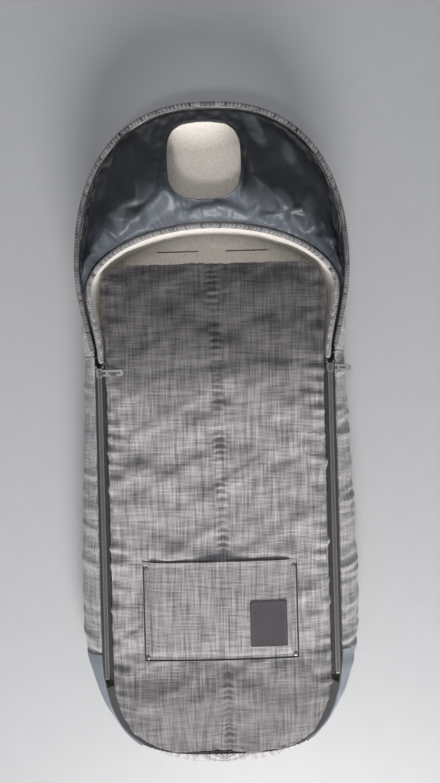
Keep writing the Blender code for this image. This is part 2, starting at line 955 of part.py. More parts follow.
def slider_lips():
    """Ridges along both sides of each plate, which keep the rows in and leave the tapes free."""
    half, head, tail = slider_length / 2, slider_width / 2 - gap, slider_tail_width / 2 - gap
    cut = slider_tail_width / 5
    width = slider_lip_width
    right = [(tail - width, cut - half), (tail, cut - half), (head, half / 3), (head - width, half / 3)]
    left = [(-x, y) for x, y in right[::-1]]
    low = slider_room / 2 - slider_lip_height
    high = (slider_room + slider_plate) / 2
    return [joined_prisms("slider_lips", [right, left], *ends) for ends in ((low, high), (-high, -low))]


def bail_mesh():
    """The bridge on the slider: a round bar along the zip on two feet."""
    half = bail_length / 2 - bail_radius
    top = slider_room / 2 + slider_plate
    path = [(-half, top - slider_plate / 2), (-half, top + bail_height - bail_radius)]
    path += [(-half + bail_radius, top + bail_height), (half - bail_radius, top + bail_height)]
    path += [(half, top + bail_height - bail_radius), (half, top - slider_plate / 2)]
    rings = []
    for i, (y, z) in enumerate(path):
        before, after = path[max(i - 1, 0)], path[min(i + 1, len(path) - 1)]
        along = Vector((0, after[0] - before[0], after[1] - before[1])).normalized()
        side = Vector((1, 0, 0))
        up = side.cross(along)
        ring = []
        for c, s in spokes(bail_sides):
            ring.append(Vector((0, y, z)) + (side * c + up * s) * bail_radius)
        rings.append(ring)
    return loft("bail", rings)


def slider(side, sign, pivot):
    """Two plates on a post with lips and a bridge, joined into one body."""
    centre = placed(chain_x * sign, slider_y, chain_z)
    room, plate = slider_room / 2, slider_plate
    half = slider_length / 2
    reach = room + plate / 2
    low = (-slider_post_width / 2, half - slider_post_length, -reach)
    high = (slider_post_width / 2, half - slider_post_front, reach)
    meshes = [
        prism("upper_plate", slider_plate_outline(), room, room + plate),
        prism("lower_plate", slider_plate_outline(), -room - plate, -room),
        box_mesh("post", low, high),
        bail_mesh(),
        *slider_lips(),
    ]
    for mesh in meshes:
        mesh.transform(centre)
    body = add_object(f"{side}_slider", meshes[0], "gunmetal", pivot)
    for i, mesh in enumerate(meshes[1:]):
        combine(body, cutter(f"{side}_slider_join_{i}", mesh), "UNION")


def bail_axis(sign):
    """The middle of the bail's bar, where the pull's link turns."""
    height = chain_z + slider_room / 2 + slider_plate + bail_height
    return Vector((chain_x * sign, slider_y, height))


def cross_tube(name, inner, outer, first_y, last_y):
    """A tube along Y round the origin, or a plain round bar where inner is 0."""
    turns = spokes(small_disc_sides)
    if not inner:
        return loft(name, [[(outer * c, y, outer * s) for c, s in turns] for y in (first_y, last_y)])
    corners = ((outer, first_y), (outer, last_y), (inner, last_y), (inner, first_y))
    return loft(name, [[(r * c, y, r * s) for r, y in corners] for c, s in turns], around=True)


def link_meshes():
    """A ring that turns round the bail, a flat neck and a cross pin for the tab, along X."""
    outer = bail_radius + eye_play + eye_wall
    half = link_width / 2
    eye = cross_tube("link_eye", bail_radius + eye_play, outer, -half, half)
    low = (outer - eye_wall / 2, -half + gap, -link_bar / 2)
    neck = box_mesh("link_neck", low, (link_length, half - gap, link_bar / 2))
    reach = pull_width / 2 - gap
    pin = cross_tube("link_pin", 0, link_pin_radius, -reach, reach)
    pin.transform(placed(link_length, 0, 0))
    return eye, neck, pin


def rounded_strip(near, far, half_width, radius, count):
    """A strip along X with four round corners."""
    low, high, side = near + radius, far - radius, half_width - radius
    corners = ((high, side, 0), (low, side, 1), (low, -side, 2), (high, -side, 3))
    points = []
    for x, y, turn in corners:
        for i in range(count):
            angle = quarter_turn * (turn + i / (count - 1))
            points.append((x + radius * math.cos(angle), y + radius * math.sin(angle)))
    return points


def tab_meshes():
    """The slotted tab, and the two ears at its root that turn on the link's pin."""
    inner = link_pin_radius + eye_play
    outer = inner + eye_wall
    half = pull_width / 2
    notch = link_width / 2 + eye_play
    far_corners = rounded_strip(0, pull_length, half, pull_width / pull_rounding, 6)
    far_side = [point for point in far_corners if point[0] > pull_length / 2]
    upper, lower = far_side[: len(far_side) // 2], far_side[len(far_side) // 2 :]
    root, shoulder = inner + eye_wall / 4, outer + eye_play
    steps = [(root, half), (root, notch), (shoulder, notch)]
    steps += [(x, -y) for x, y in steps[::-1]]
    tab = prism("tab", upper + steps + lower, -pull_thickness / 2, pull_thickness / 2)
    ears = [cross_tube("ear", inner, outer, *ends) for ends in ((-half, -notch), (notch, half))]
    return tab, ears


def wall_slope():
    """How steeply the side wall falls away from the zip beside the slider."""
    (near, high), (far, low) = wall_line(share_at(slider_y), 0, 0)[:-3:-1]
    return math.atan2(high - low, far - near)


def pull(side, sign, slider_pivot):
    """The link on the bail and the slotted tab on the link; both turn about the zip's direction.

    The left tab lies up over the cover, and the right one hangs over the side wall.
    """
    axis = bail_axis(sign)
    droop = wall_slope() - right_pull_clearance
    link_tilt = left_link_lift if side == "left" else -droop / 2
    tab_tilt = left_link_lift if side == "left" else -droop
    link_pivot = add_pivot(f"{side}_link_pivot", axis, slider_pivot)
    place = Matrix.Translation(axis) @ Matrix.Rotation(-link_tilt, 4, "Y")
    eye, neck, pin = link_meshes()
    for mesh in (eye, neck, pin):
        mesh.transform(place)
    link = add_object(f"{side}_pull_link", eye, "gunmetal", link_pivot)
    combine(link, cutter(f"{side}_link_neck", neck), "UNION")
    combine(link, cutter(f"{side}_link_pin", pin), "UNION")
    pull_axis = place @ Vector((link_length, 0, 0))
    pull_pivot = add_pivot(f"{side}_pull_pivot", pull_axis, link_pivot)
    place = Matrix.Translation(pull_axis) @ Matrix.Rotation(-tab_tilt, 4, "Y")
    tab, ears = tab_meshes()
    slit_far = pull_length - pull_width / 2
    slit_ends = (slit_far - pull_slit_length, slit_far)
    slit_plan = rounded_strip(*slit_ends, pull_slit_width / 2, pull_slit_width / pull_rounding, 3)
    slit = prism("slit", slit_plan, -pull_thickness, pull_thickness)
    for mesh in (tab, slit, *ears):
        mesh.transform(place)
    body = add_object(f"{side}_pull", tab, "gunmetal", pull_pivot)
    for i, ear in enumerate(ears):
        combine(body, cutter(f"{side}_pull_ear_{i}", ear), "UNION")
    combine(body, cutter(f"{side}_pull_slit", slit), "DIFFERENCE")


# The patch pocket with its welt, rivets and label


def pocket_rise(x, y):
    """How far the pocket's cloth stands off the cover: nothing along its three sewn edges."""
    aside = (pocket_half_width - pocket_seam - abs(x)) / pocket_slope
    below = (y - pocket_bottom_y - pocket_seam) / pocket_slope
    return pocket_room * smooth(min(aside, below))


def pocket_base(x, y):
    """Height of the pocket cloth's underside."""
    return crown_height(x, y) + 2 * gap + pocket_rise(x, y)


def rise_stations(edge):
    """Places from a sewn edge of the pocket to where its cloth has risen."""
    seam = edge + pocket_seam
    return [edge, seam, seam + pocket_slope / 2, seam + pocket_slope]


def edge_stations(half, count):
    """Places across the pocket, closer together where its edge rises."""
    near = rise_stations(-half)
    middle = stations(near[-1], -near[-1], count)
    return near[:-1] + middle + [-x for x in near[-2::-1]]


def pocket(pivot):
    """The pocket's cloth, open along its top, with its welt and four rivets."""
    across = edge_stations(pocket_half_width, 9)
    down = rise_stations(pocket_bottom_y)
    rings = []
    for y in down[:-1] + stations(down[-1], pocket_top_y, 5):
        under = [(x, y, pocket_base(x, y)) for x in across]
        upper = [(x, y, pocket_base(x, y) + pocket_cloth) for x in across[::-1]]
        rings.append(under + upper)
    panel = add_object("pocket_panel", loft("pocket_panel", rings), "melange", pivot)
    welt = []
    near, far = pocket_top_y - welt_width, pocket_top_y
    for x in across:
        low = pocket_base(x, pocket_top_y) + pocket_cloth + gap
        high = low + welt_height
        welt.append([(x, near, low), (x, far, low), (x, far, high), (x, near, high)])
    add_object("pocket_welt", loft("pocket_welt", welt), "tape", pivot)
    reach_x = pocket_half_width - rivet_inset
    for side, sign in sides:
        for end, y in (("upper", near - rivet_inset), ("lower", pocket_bottom_y + rivet_inset)):
            x = sign * reach_x
            seat = max(pocket_base(x + dx * rivet_radius, y) for dx in (-1, 0, 1)) + pocket_cloth + gap
            foot = crown_height(x, y) + gap
            rivet = rivet_mesh(seat - foot)
            rivet.transform(placed(x, y, seat))
            add_object(f"{side}_{end}_rivet", rivet, "gunmetal", pivot)
            hole = disc_mesh("rivet_hole", rivet_hole, overrun * 2, small_disc_sides)
            hole.transform(placed(x, y, seat - overrun))
            combine(panel, cutter(f"{side}_{end}_rivet_hole", hole), "DIFFERENCE")


def rivet_mesh(shank_length):
    """A domed head on a short shank; the origin is under the head."""
    bm = bmesh.new()
    profile = [(0, -shank_length), (rivet_shank, -shank_length), (rivet_shank, 0)]
    profile += [(rivet_radius, 0), (rivet_radius, rivet_height / 3)]
    profile += [(rivet_radius * rivet_dome_share, rivet_height * rivet_dome_share), (0, rivet_height)]
    verts = [bm.verts.new((r, 0, z)) for r, z in profile]
    edges = [bm.edges.new(pair) for pair in zip(verts, verts[1:])]
    bmesh.ops.spin(
        bm,
        geom=verts + edges,
        cent=(0, 0, 0),
        axis=(0, 0, 1),
        angle=math.tau,
        steps=small_disc_sides,
        use_merge=True,
    )
    bmesh.ops.remove_doubles(bm, verts=bm.verts, dist=merge_distance)
    return to_mesh(bm, "rivet")


def label(pivot):
    """A leather patch with a raised, sewn border, laid on the pocket."""
    half_x, half_y = label_width / 2, label_length / 2
    xs = [-half_x, -half_x + label_border, 0, half_x - label_border, half_x]
    ys = [-half_y, -half_y + label_border, 0, half_y - label_border, half_y]
    rings = []
    for dy in ys:
        y = label_y + dy
        under, upper = [], []
        for dx in xs:
            x = label_x + dx
            z = pocket_base(x, y) + pocket_cloth + 2 * gap
            inside = max(abs(dx) - half_x, abs(dy) - half_y) < -label_border / 2
            under.append((x, y, z))
            upper.append((x, y, z + label_thickness - (label_relief if inside else 0)))
        rings.append(under + upper[::-1])
    add_object("label", loft("label", rings), "leather", pivot)


def main():
    clear_scene()
    walls()
    back_panel()
    collar()
    satin()
    head_binding()
    toe_tape()
    cover_pivot = add_pivot("cover_pivot", (0, hinge_y, hinge_z))
    flap_pivot = add_pivot("flap_pivot", (0, fold_y, hinge_z), cover_pivot)
    front_piece("toe", hinge_y - gap, foot_y - cover_reach * cover_toe_share, 9, None, toe_lining_inset)
    front_piece("cover", fold_y - gap, hinge_y + gap, 12, cover_pivot, magnets=(fold_y - magnet_from_fold,))
    front_piece("flap", fold_y + gap, flap_y, 10, flap_pivot, magnets=(fold_y + magnet_from_fold,))
    pocket(cover_pivot)
    label(cover_pivot)
    for side, sign in sides:
        zip_rows(side, sign, cover_pivot)
        slider_pivot = add_pivot(f"{side}_slider_pivot", bail_axis(sign))
        slider(side, sign, slider_pivot)
        pull(side, sign, slider_pivot)


main()
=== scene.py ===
import math

import bmesh
import bpy
import numpy as np
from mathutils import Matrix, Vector
from mathutils.bvhtree import BVHTree


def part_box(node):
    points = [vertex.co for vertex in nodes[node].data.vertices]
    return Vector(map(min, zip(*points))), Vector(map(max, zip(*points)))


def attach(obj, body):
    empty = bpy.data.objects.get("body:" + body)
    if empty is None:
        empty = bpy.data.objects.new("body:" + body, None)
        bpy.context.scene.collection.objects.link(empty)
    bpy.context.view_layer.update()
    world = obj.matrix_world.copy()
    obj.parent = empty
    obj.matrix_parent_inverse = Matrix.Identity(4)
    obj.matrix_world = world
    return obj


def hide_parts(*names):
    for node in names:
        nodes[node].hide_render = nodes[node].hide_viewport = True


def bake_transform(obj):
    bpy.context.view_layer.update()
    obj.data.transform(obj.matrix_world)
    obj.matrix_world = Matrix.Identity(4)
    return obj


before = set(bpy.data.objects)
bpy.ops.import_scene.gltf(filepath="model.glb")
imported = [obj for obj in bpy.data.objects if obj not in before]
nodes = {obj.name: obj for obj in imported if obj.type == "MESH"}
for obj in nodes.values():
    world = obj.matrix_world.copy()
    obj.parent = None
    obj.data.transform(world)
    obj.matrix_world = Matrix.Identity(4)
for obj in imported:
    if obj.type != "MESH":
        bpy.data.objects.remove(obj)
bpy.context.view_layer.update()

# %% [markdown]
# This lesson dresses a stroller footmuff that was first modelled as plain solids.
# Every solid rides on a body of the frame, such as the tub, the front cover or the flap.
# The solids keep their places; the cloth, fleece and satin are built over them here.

# %% [markdown]
# Cloth is never as smooth as a solid. Folds, puckers and gathers are added as sums of waves.
# Each wave runs across the folds in roughly one direction, so the folds lie side by side.
# The phases come from a seeded generator, so that each run gives the same cloth.


# %% A field of folds from waves
def folds(places, direction, spread, length, seed, count=9):
    """Values of about -1 to 1 at each place: waves across a direction, about one length apart.
    The spread turns each wave a little out of the direction, and the seed picks the waves."""
    random = np.random.RandomState(seed)
    main = np.array(direction, float)
    main /= np.linalg.norm(main)
    total = np.zeros(len(places))
    for _ in range(count):
        way = main + spread * random.uniform(-1, 1, 3)
        pitch = length * random.uniform(0.65, 1.6)
        total += np.sin(places @ way * math.tau / pitch + random.uniform(0, math.tau))
    return total / math.sqrt(count) / 1.3


def ridges(values, sharpness=1.6):
    """Turns soft waves into cloth folds, with narrow crests and wide valleys."""
    return 2 * np.clip(0.5 + 0.5 * values, 0, 1) ** sharpness - 0.8


def ease(values, low, high):
    """A smooth rise from 0 at the low value to 1 at the high one."""
    share = np.clip((values - low) / (high - low), 0, 1)
    return share * share * (3 - 2 * share)


# %% [markdown]
# A copy of a solid is a good start for a cloth piece, because it fills the same room.
# Its loose triangles are merged, turned back into four-sided faces and subdivided.
# Catmull-Clark subdivision rounds the cut edges as folded cloth does.


# %% Copies of the solids that become cloth
def place_of(obj):
    """The vertices' places and normals as arrays."""
    mesh = obj.data
    places = np.empty(len(mesh.vertices) * 3)
    mesh.vertices.foreach_get("co", places)
    normals = np.empty(len(mesh.vertices) * 3)
    mesh.vertex_normals.foreach_get("vector", normals)
    return places.reshape(-1, 3), normals.reshape(-1, 3)


def new_object(name, data):
    obj = bpy.data.objects.new(name, data)
    bpy.context.scene.collection.objects.link(obj)
    return obj


def put(obj, places):
    obj.data.vertices.foreach_set("co", places.ravel())
    obj.data.update()


def only(obj):
    bpy.ops.object.select_all(action="DESELECT")
    obj.select_set(True)
    bpy.context.view_layer.objects.active = obj


def copy_of(name, *node_names):
    """One new object with the meshes of these nodes, and their doubled points merged."""
    bm = bmesh.new()
    for node_name in node_names:
        bm.from_mesh(nodes[node_name].data)
    bmesh.ops.remove_doubles(bm, verts=bm.verts, dist=0.00002)
    mesh = bpy.data.meshes.new(name)
    bm.to_mesh(mesh)
    bm.free()
    return new_object(name, mesh)


def apply_all(obj):
    only(obj)
    for modifier in list(obj.modifiers):
        bpy.ops.object.modifier_apply(modifier=modifier.name)


def subdivide(obj, levels):
    modifier = obj.modifiers.new("subdivide", "SUBSURF")
    modifier.levels = modifier.render_levels = levels
    apply_all(obj)


flat_angle, sharp_angle = math.radians(40), math.radians(60)


def skin(name, node_name, levels, crease=0.0):
    """A cloth piece in place of a node: a merged copy in four-sided faces, subdivided.
    A crease keeps the cut edges nearer to their place."""
    obj = copy_of(name, node_name)
    only(obj)
    bpy.ops.object.mode_set(mode="EDIT")
    bpy.ops.mesh.select_all(action="SELECT")
    bpy.ops.mesh.tris_convert_to_quads(face_threshold=flat_angle, shape_threshold=flat_angle)
    if crease:
        bpy.ops.mesh.select_mode(type="EDGE")
        bpy.ops.mesh.select_all(action="DESELECT")
        bpy.ops.mesh.edges_select_sharp(sharpness=sharp_angle)
        bpy.ops.transform.edge_crease(value=crease)
        bpy.ops.mesh.select_mode(type="VERT")
    bpy.ops.object.mode_set(mode="OBJECT")
    subdivide(obj, levels)
    obj.data.shade_smooth()
    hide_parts(node_name)
    return obj


def push(obj, amounts):
    """Moves each point along its normal."""
    places, normals = place_of(obj)
    put(obj, places + normals * amounts[:, None])


# %% [markdown]
# Woven cloth needs to know which way its threads run on every piece.
# Each piece gets an attribute with two lengths in metres: across and along the threads.
# The weave then follows a wall round its curve without stretching.
# A second attribute, the tone, paints light and shade into the colour: painted shade on the front's flap,
# darker cloth towards the toe, and a painted sheen on the satin.


# %% Thread directions
def lay_threads(obj, across, along, tone=None):
    """Gives each point its two lengths, and a tone of painted light and shade, which darkens the cloth where
    it's under 1.
    """
    attribute = obj.data.attributes.new("threads", "FLOAT_VECTOR", "POINT")
    values = np.stack([across, along, np.zeros_like(across)], axis=1)
    attribute.data.foreach_set("vector", values.astype(np.float32).ravel())
    if tone is None:
        tone = np.ones(len(across))
    attribute = obj.data.attributes.new("tone", "FLOAT", "POINT")
    attribute.data.foreach_set("value", tone.astype(np.float32))


def threads_flat(obj):
    """Threads along X and Y, for pieces that lie flat."""
    places, _ = place_of(obj)
    lay_threads(obj, places[:, 0], places[:, 1])


def threads_round(obj, centre_y, radius):
    """Threads up a wall and round the tub's end or along its flank."""
    places, _ = place_of(obj)
    beyond = places[:, 1] - centre_y
    angle = np.arctan2(np.abs(places[:, 0]), np.abs(beyond)) * radius
    lay_threads(obj, places[:, 2] - 0.35 * np.abs(places[:, 0]), angle)


def threads_side(obj):
    """Threads up a side wall and along the tub, with the slope of the wall taken in."""
    places, _ = place_of(obj)
    lay_threads(obj, places[:, 2] * 1.1 - np.abs(places[:, 0]), places[:, 1])


# %% [markdown]
# The materials come next. Effects that several cloths share are node groups.
# The first one is the melange weave: light and dark slubs run both ways through a plain weave.


# %% Small helpers for node trees
def link(tree, source, target):
    tree.links.new(source, target)


def add_node(tree, kind, **settings):
    node = tree.nodes.new(kind)
    for name, value in settings.items():
        setattr(node, name, value)
    return node


def maths(tree, operation, first, second=None, third=None):
    node = add_node(tree, "ShaderNodeMath", operation=operation)
    for socket, value in zip(node.inputs, (first, second, third)):
        if isinstance(value, (int, float)):
            socket.default_value = value
        elif value is not None:
            link(tree, value, socket)
    return node.outputs[0]


def new_group(name, inputs, outputs):
    """A node group with named inputs (name, kind, default) and outputs (name, kind)."""
    group = bpy.data.node_groups.new(name, "ShaderNodeTree")
    for socket_name, kind, default in inputs:
        socket = group.interface.new_socket(socket_name, in_out="INPUT", socket_type=kind)
        socket.default_value = default
    for socket_name, kind in outputs:
        group.interface.new_socket(socket_name, in_out="OUTPUT", socket_type=kind)
    return group, add_node(group, "NodeGroupInput"), add_node(group, "NodeGroupOutput")


def clamped(tree, value):
    return maths(tree, "MINIMUM", maths(tree, "MAXIMUM", value, 0.0), 1.0)


def centred(tree, value):
    """Noise lies about a half, so this takes a half away."""
    return maths(tree, "SUBTRACT", value, 0.5)


def times_colour(tree, colour, factor):
    node = add_node(tree, "ShaderNodeVectorMath", operation="SCALE")
    link(tree, colour, node.inputs[0])
    link(tree, factor, node.inputs["Scale"])
    return node.outputs[0]


def noise(tree, vector, scale, detail=2.0, roughness=0.5):
    node = add_node(tree, "ShaderNodeTexNoise")
    link(tree, vector, node.inputs["Vector"])
    node.inputs["Scale"].default_value = scale
    node.inputs["Detail"].default_value = detail
    node.inputs["Roughness"].default_value = roughness
    return node.outputs["Fac"]


def mix_colour(tree, factor, first, second):
    node = add_node(tree, "ShaderNodeMix", data_type="RGBA")
    link(tree, factor, node.inputs[0])
    link(tree, first, node.inputs[6])
    link(tree, second, node.inputs[7])
    return node.outputs[2]


# %% The melange weave as a node group
COLOUR, FLOAT, VECTOR = "NodeSocketColor", "NodeSocketFloat", "NodeSocketVector"
thread_pitch, slub_pitch = 0.0021, 0.0042
warp_run, weft_run, slub_run = 0.055, 0.040, 0.110
thread_stride, longest_start = 7.31, 50.0


def streaks(tree, fast, slow, pitch, run):
    """The tone of each thread: threads lie a pitch apart, and each one changes along its own run."""
    thread = maths(tree, "FLOOR", maths(tree, "MULTIPLY", fast, 1 / pitch))
    start = add_node(tree, "ShaderNodeTexWhiteNoise", noise_dimensions="1D")
    link(tree, thread, start.inputs["W"])
    place = add_node(tree, "ShaderNodeCombineXYZ")
    link(tree, maths(tree, "MULTIPLY", thread, thread_stride), place.inputs[0])
    shifted = maths(tree, "MULTIPLY", start.outputs["Value"], longest_start)
    link(tree, maths(tree, "MULTIPLY_ADD", slow, 1 / run, shifted), place.inputs[1])
    return noise(tree, place.outputs[0], 1.0, 1.0)


def weave_group():
    """A plain weave whose threads are light in some stretches and dark in others."""
    inputs = [
        ("Threads", VECTOR, (0, 0, 0)),
        ("Painted_Light", FLOAT, 1.0),
        ("Light", COLOUR, (0.42, 0.41, 0.41, 1)),
        ("Dark", COLOUR, (0.06, 0.06, 0.065, 1)),
    ]
    group, given, result = new_group("melange_weave", inputs, [("Color", COLOUR), ("Height", FLOAT)])
    split = add_node(group, "ShaderNodeSeparateXYZ")
    link(group, given.outputs["Threads"], split.inputs[0])
    across, along = split.outputs[0], split.outputs[1]
    warp = streaks(group, across, along, thread_pitch, warp_run)
    weft = streaks(group, along, across, thread_pitch, weft_run)
    slub = streaks(group, across, along, slub_pitch, slub_run)
    over = maths(group, "SINE", maths(group, "MULTIPLY", across, math.tau / thread_pitch))
    under = maths(group, "SINE", maths(group, "MULTIPLY", along, math.tau / thread_pitch))
    cloud = noise(group, given.outputs["Threads"], 45)
    both = maths(group, "MULTIPLY_ADD", weft, 0.85, warp)
    tone = maths(group, "MULTIPLY_ADD", centred(group, slub), 0.18, both)
    tone = maths(group, "MULTIPLY_ADD", tone, 1.05, -0.47)
    tone = maths(group, "MULTIPLY_ADD", maths(group, "ADD", over, under), 0.19, tone)
    tone = maths(group, "MULTIPLY_ADD", centred(group, cloud), 0.08, tone)
    shade = mix_colour(group, clamped(group, tone), given.outputs["Dark"], given.outputs["Light"])
    height = maths(group, "MULTIPLY_ADD", maths(group, "MULTIPLY", over, under), 0.2, both)
    # The tone scales the colour: the painted light and shade that each piece carries.
    link(group, times_colour(group, shade, given.outputs["Painted_Light"]), result.inputs["Color"])
    link(group, height, result.inputs["Height"])
    return group


def pile_group():
    """Fleece: soft clumps of pile with finer curls on them."""
    inputs = [
        ("Place", VECTOR, (0, 0, 0)),
        ("Light", COLOUR, (0.86, 0.84, 0.80, 1)),
        ("Shade", COLOUR, (0.62, 0.58, 0.52, 1)),
    ]
    group, given, result = new_group("fleece_pile", inputs, [("Color", COLOUR), ("Height", FLOAT)])
    clumps = noise(group, given.outputs["Place"], 260, 3.0, 0.6)
    curls = noise(group, given.outputs["Place"], 900, 2.0, 0.6)
    height = maths(group, "MULTIPLY_ADD", curls, 0.4, clumps)
    tone = clamped(group, maths(group, "MULTIPLY_ADD", height, 2.2, -0.9))
    shade = mix_colour(group, tone, given.outputs["Shade"], given.outputs["Light"])
    link(group, shade, result.inputs["Color"])
    link(group, height, result.inputs["Height"])
    return group


def grain_group():
    """A tint that wanders a little, and fine grain, for nylon, tape, leather and metal."""
    inputs = [
        ("Place", VECTOR, (0, 0, 0)),
        ("Base", COLOUR, (0.1, 0.1, 0.1, 1)),
        ("Scale", FLOAT, 900.0),
        ("Variation", FLOAT, 0.2),
        ("Painted_Light", FLOAT, 1.0),
    ]
    group, given, result = new_group("fine_grain", inputs, [("Color", COLOUR), ("Height", FLOAT)])
    node = add_node(group, "ShaderNodeTexNoise")
    link(group, given.outputs["Place"], node.inputs["Vector"])
    link(group, given.outputs["Scale"], node.inputs["Scale"])
    node.inputs["Detail"].default_value = 3.0
    grain = node.outputs["Fac"]
    cloud = noise(group, given.outputs["Place"], 35)
    both = maths(group, "ADD", centred(group, grain), centred(group, cloud))
    factor = maths(group, "MULTIPLY_ADD", both, given.outputs["Variation"], 1.0)
    # The tone scales the tint: the satin's painted sheen, and 1 on every other finish.
    factor = maths(group, "MULTIPLY", factor, given.outputs["Painted_Light"])
    link(group, times_colour(group, given.outputs["Base"], factor), result.inputs["Color"])
    link(group, grain, result.inputs["Height"])
    return group


weave_nodes, pile_nodes, grain_nodes = weave_group(), pile_group(), grain_group()


# %% [markdown]
# Each material below is one call. Its colours are linear, and its grain is measured in metres.
# The front's cloth and the walls' cloth differ a little, because the light falls on them differently.

# %% Materials that use the groups
def new_material(name, roughness, **sockets):
    material = bpy.data.materials.new(name)
    material.use_nodes = True
    shader = material.node_tree.nodes["Principled BSDF"]
    shader.inputs["Roughness"].default_value = roughness
    for socket, value in sockets.items():
        shader.inputs[socket.replace("_", " ")].default_value = value
    return material, material.node_tree, shader


def finish_with(tree, shader, group, place, depth, distance, with_painted_light=False, **values):
    """Places a group in a material: its colour, and its height as a bump."""
    node = add_node(tree, "ShaderNodeGroup", node_tree=group)
    link(tree, place, node.inputs[0])
    # With this flag, the colour is multiplied by the tone attribute, the piece's painted light and shade.
    if with_painted_light:
        tone = add_node(tree, "ShaderNodeAttribute", attribute_name="tone")
        link(tree, tone.outputs["Fac"], node.inputs["Painted_Light"])
    for name, value in values.items():
        node.inputs[name].default_value = value
    link(tree, node.outputs["Color"], shader.inputs["Base Color"])
    bump = add_node(tree, "ShaderNodeBump")
    bump.inputs["Strength"].default_value = depth
    bump.inputs["Distance"].default_value = distance
    link(tree, node.outputs["Height"], bump.inputs["Height"])
    link(tree, bump.outputs[0], shader.inputs["Normal"])


def melange(name, light, dark):
    """Woven cloth, from the colours of its light and its dark threads."""
    material, tree, shader = new_material(name, 0.92, Sheen_Weight=0.15, Specular_IOR_Level=0.25)
    threads = add_node(tree, "ShaderNodeAttribute", attribute_name="threads").outputs["Vector"]
    finish_with(tree, shader, weave_nodes, threads, 0.5, 0.0005, with_painted_light=True, Light=light, Dark=dark)
    return material


def fleece(name, light, shade):
    """Short pile, from the colour of its tips and the colour between them."""
    material, tree, shader = new_material(name, 1.0, Sheen_Weight=0.35, Specular_IOR_Level=0.1)
    place = add_node(tree, "ShaderNodeTexCoord").outputs["Object"]
    finish_with(tree, shader, pile_nodes, place, 0.9, 0.002, Light=light, Shade=shade)
    return material


def grained(name, base, roughness, scale, variation, depth, distance, with_painted_light=False, **sockets):
    """A plain finish: its colour, roughness, grains per metre, how far its tint wanders, and its bump."""
    material, tree, shader = new_material(name, roughness, **sockets)
    place = add_node(tree, "ShaderNodeTexCoord").outputs["Object"]
    values = {"Base": base, "Scale": scale, "Variation": variation}
    finish_with(tree, shader, grain_nodes, place, depth, distance, with_painted_light, **values)
    return material


cover_melange = melange("cover melange", (0.51, 0.486, 0.498, 1), (0.072, 0.066, 0.070, 1))
wall_melange = melange("wall melange", (0.55, 0.525, 0.54, 1), (0.09, 0.084, 0.088, 1))
band_melange = melange("band melange", (0.42, 0.41, 0.42, 1), (0.05, 0.048, 0.05, 1))
rim_melange = melange("rim melange", (0.24, 0.23, 0.24, 1), (0.008, 0.008, 0.009, 1))
pocket_melange = melange("pocket melange", (0.455, 0.434, 0.445, 1), (0.060, 0.055, 0.058, 1))
cream_fleece = fleece("cream fleece", (0.93, 0.895, 0.845, 1), (0.78, 0.71, 0.635, 1))
# The front's linings are the cream fleece darkened: painted shade, for fleece that lies in shadow under the
# cover.
painted_shade_front_fleece = fleece("front fleece in painted shade", (0.72, 0.69, 0.65, 1), (0.58, 0.54, 0.49, 1))
white_wadding = fleece("white wadding", (0.85, 0.85, 0.84, 1), (0.7, 0.7, 0.7, 1))
slate_satin = grained(
    "slate satin", (0.088, 0.100, 0.121, 1), 0.42, 1500.0, 0.2, 0.1, 0.0002,
    with_painted_light=True, Specular_IOR_Level=0.42,
)
hem_satin = grained("hem satin", (0.030, 0.033, 0.042, 1), 0.5, 1500.0, 0.3, 0.3, 0.0002)
grey_nylon = grained("grey nylon", (0.19, 0.205, 0.235, 1), 0.5, 1400.0, 0.25, 0.3, 0.0003)
black_tape = grained("black tape", (0.022, 0.022, 0.025, 1), 0.8, 1600.0, 0.5, 0.5, 0.0004)
grey_teeth = grained("grey teeth", (0.12, 0.117, 0.117, 1), 0.36, 500.0, 0.3, 0.1, 0.0002)
gunmetal = grained("gunmetal", (0.25, 0.243, 0.24, 1), 0.38, 700.0, 0.3, 0.1, 0.0002, Metallic=1.0)
# The pulls' metal is lighter and less metallic than the gunmetal: a painted reflection, since the dim room
# gives the tabs little to reflect.
pull_metal_painted_reflection = grained("pull metal, painted reflection", (0.50, 0.49, 0.48, 1), 0.42, 700.0, 0.3, 0.1, 0.0002, Metallic=0.7)
bright_magnet = grained("bright magnet", (0.5, 0.5, 0.5, 1), 0.3, 700.0, 0.2, 0.1, 0.0002, Metallic=1.0)
grey_leather = grained(
    "grey leather", (0.066, 0.058, 0.066, 1), 0.72, 1300.0, 0.35, 0.6, 0.0005, Specular_IOR_Level=0.2
)
print("materials", len(bpy.data.materials))


def dress(obj, material, body):
    """Gives a piece its finish and the body it moves with. A piece that bends has no body here."""
    obj.data.materials.clear()
    obj.data.materials.append(material)
    if body:
        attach(obj, body)


# %% [markdown]
# The tub's walls are soft cloth held by elastic in their seams, so they are gathered.
# The gathers run across the wall and are deepest beside the zip.

